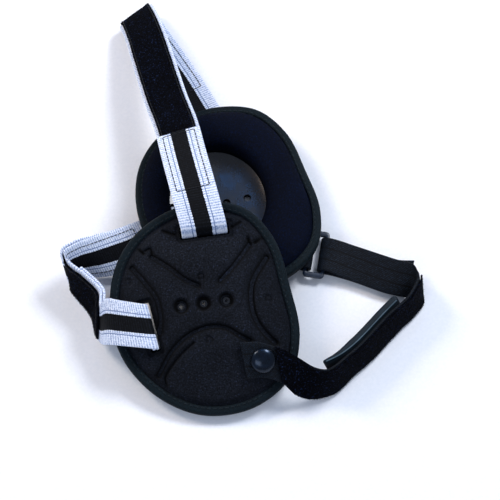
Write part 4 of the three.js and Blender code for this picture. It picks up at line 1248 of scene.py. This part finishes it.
def chin_cushion():
    """The chin pad: a rounded foam block, thinner towards its lower end, with a bound edge along its top."""
    rows = strap_rows(chin_pad_path, 0, chin_pad_path.last, 0.8)
    first, final = rows[0][0], rows[-1][0]
    half = CHIN_WIDTH / 2
    turns = np.linspace(0, 2 * math.pi, 44, endpoint=False)

    def section(index, length):
        gap = min(length - first, final - length)
        close = math.sqrt(max(0.0, 1 - max(0.0, 1 - gap / CHIN_PAD_ROUND) ** 2))
        swell = CHIN_PAD_THIN + CHIN_PAD_SWELL * smooth_step((length - first) / CHIN_PAD_TAPER)
        deep = CHIN_PAD_WALL * swell / 2
        squeeze = 0.35 + 0.65 * close
        points = []
        for turn in turns:
            c, s = math.cos(turn), math.sin(turn)
            way = math.copysign(abs(c) ** 0.3, c) * (half - 0.7 * (1 - close))
            points.append((way, -deep + math.copysign(abs(s) ** 0.55, s) * deep * squeeze))
        return points

    piece = swept("chin_foam_pad", rows, section, pad_foam, CHIN_WIDTH)
    finish_piece(piece, "foam_pad", "chin_pad")
    bead = np.linspace(0, 2 * math.pi, 8, endpoint=False)
    round_bead = [(half - 0.25 + EDGING_RADIUS * math.cos(turn), -0.45 + EDGING_RADIUS * math.sin(turn))
                  for turn in bead]
    edging = swept("chin_pad_edging", rows[2:-2], lambda index, length: round_bead, edging_foam, CHIN_WIDTH)
    return finish_piece(edging, "foam_pad")


def plastic_buckle():
    """A moulded ring with two bars, all its edges rounded."""
    half_long, half_deep = BUCKLE_LENGTH / 2, BUCKLE_DEPTH / 2
    end_width = (BUCKLE_LENGTH - CHIN_WIDTH) / 2 - SLOT_ROOM
    hole_long, hole_deep = half_long - end_width, half_deep - BUCKLE_BAR
    thick = BUCKLE_BAR / 2
    rows = []

    def outside(inset, height):
        loop = rounded_loop(half_long - inset, half_deep - inset, BUCKLE_CORNER - inset, 8)
        rows.append((loop, height * thick))

    def inside(inset, height):
        loop = rounded_loop(hole_long + inset, hole_deep + inset, BUCKLE_HOLE_CORNER + inset, 8)
        rows.append((loop, height * thick))

    for inset, height in ((0.0, -0.35), (0.0, 0.35), (0.2, 0.8), (0.65, 1.0)):
        outside(inset, height)
    for inset, height in ((0.65, 1.0), (0.2, 0.8), (0.0, 0.35), (0.0, -0.35), (0.2, -0.8), (0.65, -1.0)):
        inside(inset, height)
    for inset, height in ((0.65, -1.0), (0.2, -0.8)):
        outside(inset, height)
    middle = bar_edge + bar_across * CHIN_WIDTH / 2 - bar_along * (BUCKLE_DEPTH - BUCKLE_BAR) / 2
    verts = [middle + bar_across * x + bar_along * y + bar_up * height
             for loop, height in rows for x, y in loop]
    count = len(rows[0][0])
    faces = ring_faces(len(rows), count) + joining_faces(len(rows), count)
    piece = make_mesh("moulded_buckle", to_frame(verts), faces, buckle_plastic)
    return finish_piece(piece, "hard_plastic", "buckle")


def snap_dome():
    """The press snap's domed cap with its rolled rim."""
    edge, across, out = chin_path.frame(1)
    centre = edge + across * CHIN_WIDTH / 2 + out * (CHIN_WALL + SNAP_SEAT)
    along = np.cross(across, out)
    radius = SNAP_SIZE / 2
    profile = [
        (0.02, 0.0), (0.80, 0.0), (0.94, 0.02), (0.985, 0.08), (1.0, 0.16), (0.995, 0.24), (0.975, 0.33),
        (0.94, 0.43), (0.88, 0.54), (0.80, 0.65), (0.70, 0.76), (0.58, 0.85), (0.44, 0.92), (0.28, 0.97),
        (0.14, 0.993), (0.02, 1.0),
    ]
    turns = np.linspace(0, 2 * math.pi, 64, endpoint=False)
    rim = [along * math.cos(turn) + across * math.sin(turn) for turn in turns]
    verts = [centre + radius * share * way + out * height * SNAP_HEIGHT
             for share, height in profile for way in rim]
    faces = ring_faces(len(profile), len(turns)) + end_faces(len(profile), len(turns))
    piece = make_mesh("press_snap_dome", to_frame(verts), faces, snap_metal)
    return finish_piece(piece, "lacquered_metal", "snap_cap")


chin_cushion()
plastic_buckle()
snap_dome()


# Stitching on the straps

crown_tip = crown_path.length_at(CROWN_TAIL_END)
pile_first, pile_last = (crown_path.length_at(place) for place in CROWN_PILE)
box_seam("crown_tail_stitches", "white_webbing", crown_path, TAIL_HIGH,
         crown_path.length_at(CROWN_TAIL_SEAM), crown_tip - CROWN_SEAM_END, CROWN_SEAM_INSET)
box_seam("crown_inside_stitches", "white_webbing", crown_path, 0,
         pile_first + SEAM_END, pile_last - SEAM_END, SEAM_INSET, facing=-1)
box_seam("crown_pile_stitches", "black_pile", crown_path, PILE_HIGH,
         crown_tip + SEAM_END, pile_last - SEAM_END, SEAM_INSET)

back_first, back_last = (back_path.length_at(place) for place in BACK_PILE)
box_seam("back_inside_stitches", "white_webbing", back_path, 0,
         back_path.length_at(BACK_INNER_TAIL_END) + BACK_INSIDE_SEAM_START, back_last - SEAM_END,
         SEAM_INSET, facing=-1)
box_seam("back_pile_stitches", "black_pile", back_path, PILE_HIGH,
         back_first + SEAM_END, back_path.length_at(BACK_PILE_BARE[1]), SEAM_INSET)
box_seam("back_tail_stitches", "white_webbing", back_path, TAIL_HIGH,
         back_last - BACK_SEAM_LENGTH, back_last - SEAM_END, BACK_SEAM_INSET)

chin_seam = chin_path.length_at(CHIN_END_SEAM)
box_seam("chin_end_stitches", "dark_webbing", chin_path, CHIN_WALL,
         chin_seam, chin_seam + CHIN_SEAM_LENGTH, CHIN_SEAM_INSET)


# Floor, light and camera

def pale_paper():
    # Seamless studio paper: pale and matt with a faint tooth.
    material, tree, spot = start_material("studio_paper")
    tooth = add(tree, "ShaderNodeTexNoise", {"Scale": per_mm(1.5)}, {"Vector": spot})
    shade = add(tree, "ShaderNodeValToRGB", {"ramp": [(0.3, "#f1f3f6"), (0.7, "#f7f8fa")]}, {"Fac": tooth})
    return finish_material(material, {"Roughness": 0.9}, {"Base Color": shade})


FLOOR_HALF = 1.6
FLOOR_DROP = 0.0004
floor_corners = [(x * FLOOR_HALF, y * FLOOR_HALF, -FLOOR_DROP)
                 for x, y in ((-1, -1), (1, -1), (1, 1), (-1, 1))]
floor = make_mesh("studio_floor", floor_corners, [(0, 1, 2, 3)], pale_paper(),
                  smooth=False, fix_normals=False)


def soft_light(name, place, aim, size, power, colour):
    """A softbox at a place, in metres, aimed at a point on the guard."""
    lamp = bpy.data.lights.new(name, "AREA")
    lamp.shape = "RECTANGLE"
    lamp.size, lamp.size_y = size
    lamp.energy = power
    lamp.color = linear(colour)[:3]
    rig = bpy.data.objects.new(name, lamp)
    rig.location = place
    rig.rotation_euler = (Vector(aim) - Vector(place)).to_track_quat("-Z", "Y").to_euler()
    bpy.context.scene.collection.objects.link(rig)


soft_light("key_softbox", (0.62, 0.62, 0.95), (0.0, 0.0, 0.0), (0.42, 0.34), 13, "#f2f6ff")
soft_light("side_softbox", (-0.85, 0.55, 0.8), (0.0, 0.0, 0.02), (0.3, 0.5), 8, "#fff6ea")
soft_light("blue_strip", (-0.024, 0.577, 1.066), (-0.002, 0.021, 0.003), (0.09, 0.07), 0.3, "#4f96f0")
soft_light("bronze_card", (-0.49, 0.45, 0.72), (0.02, 0.003, 0.01), (0.12, 0.12), 0.5, "#ffb060")
soft_light("front_fill", (-0.3, -0.9, 0.8), (0.0, 0.0, 0.0), (0.7, 0.4), 3, "#e6efff")

world = bpy.data.worlds.new("studio")
world.use_nodes = True
world.node_tree.nodes["Background"].inputs["Color"].default_value = linear("#d8e5ff")
world.node_tree.nodes["Background"].inputs["Strength"].default_value = 0.45
bpy.context.scene.world = world
bpy.context.scene.view_settings.view_transform = "Standard"

CAMERA_PLACE = (0.0134, -0.3767, 0.7646)
CAMERA_PITCH = math.radians(25)
CAMERA_LENS = 106.56

lens = bpy.data.cameras.new("photo_view")
lens.lens = CAMERA_LENS
lens.sensor_width = 36
lens.clip_start = 0.01
camera = bpy.data.objects.new("photo_view", lens)
camera.location = CAMERA_PLACE
camera.rotation_euler = (CAMERA_PITCH, 0, 0)
bpy.context.scene.collection.objects.link(camera)
bpy.context.scene.camera = camera
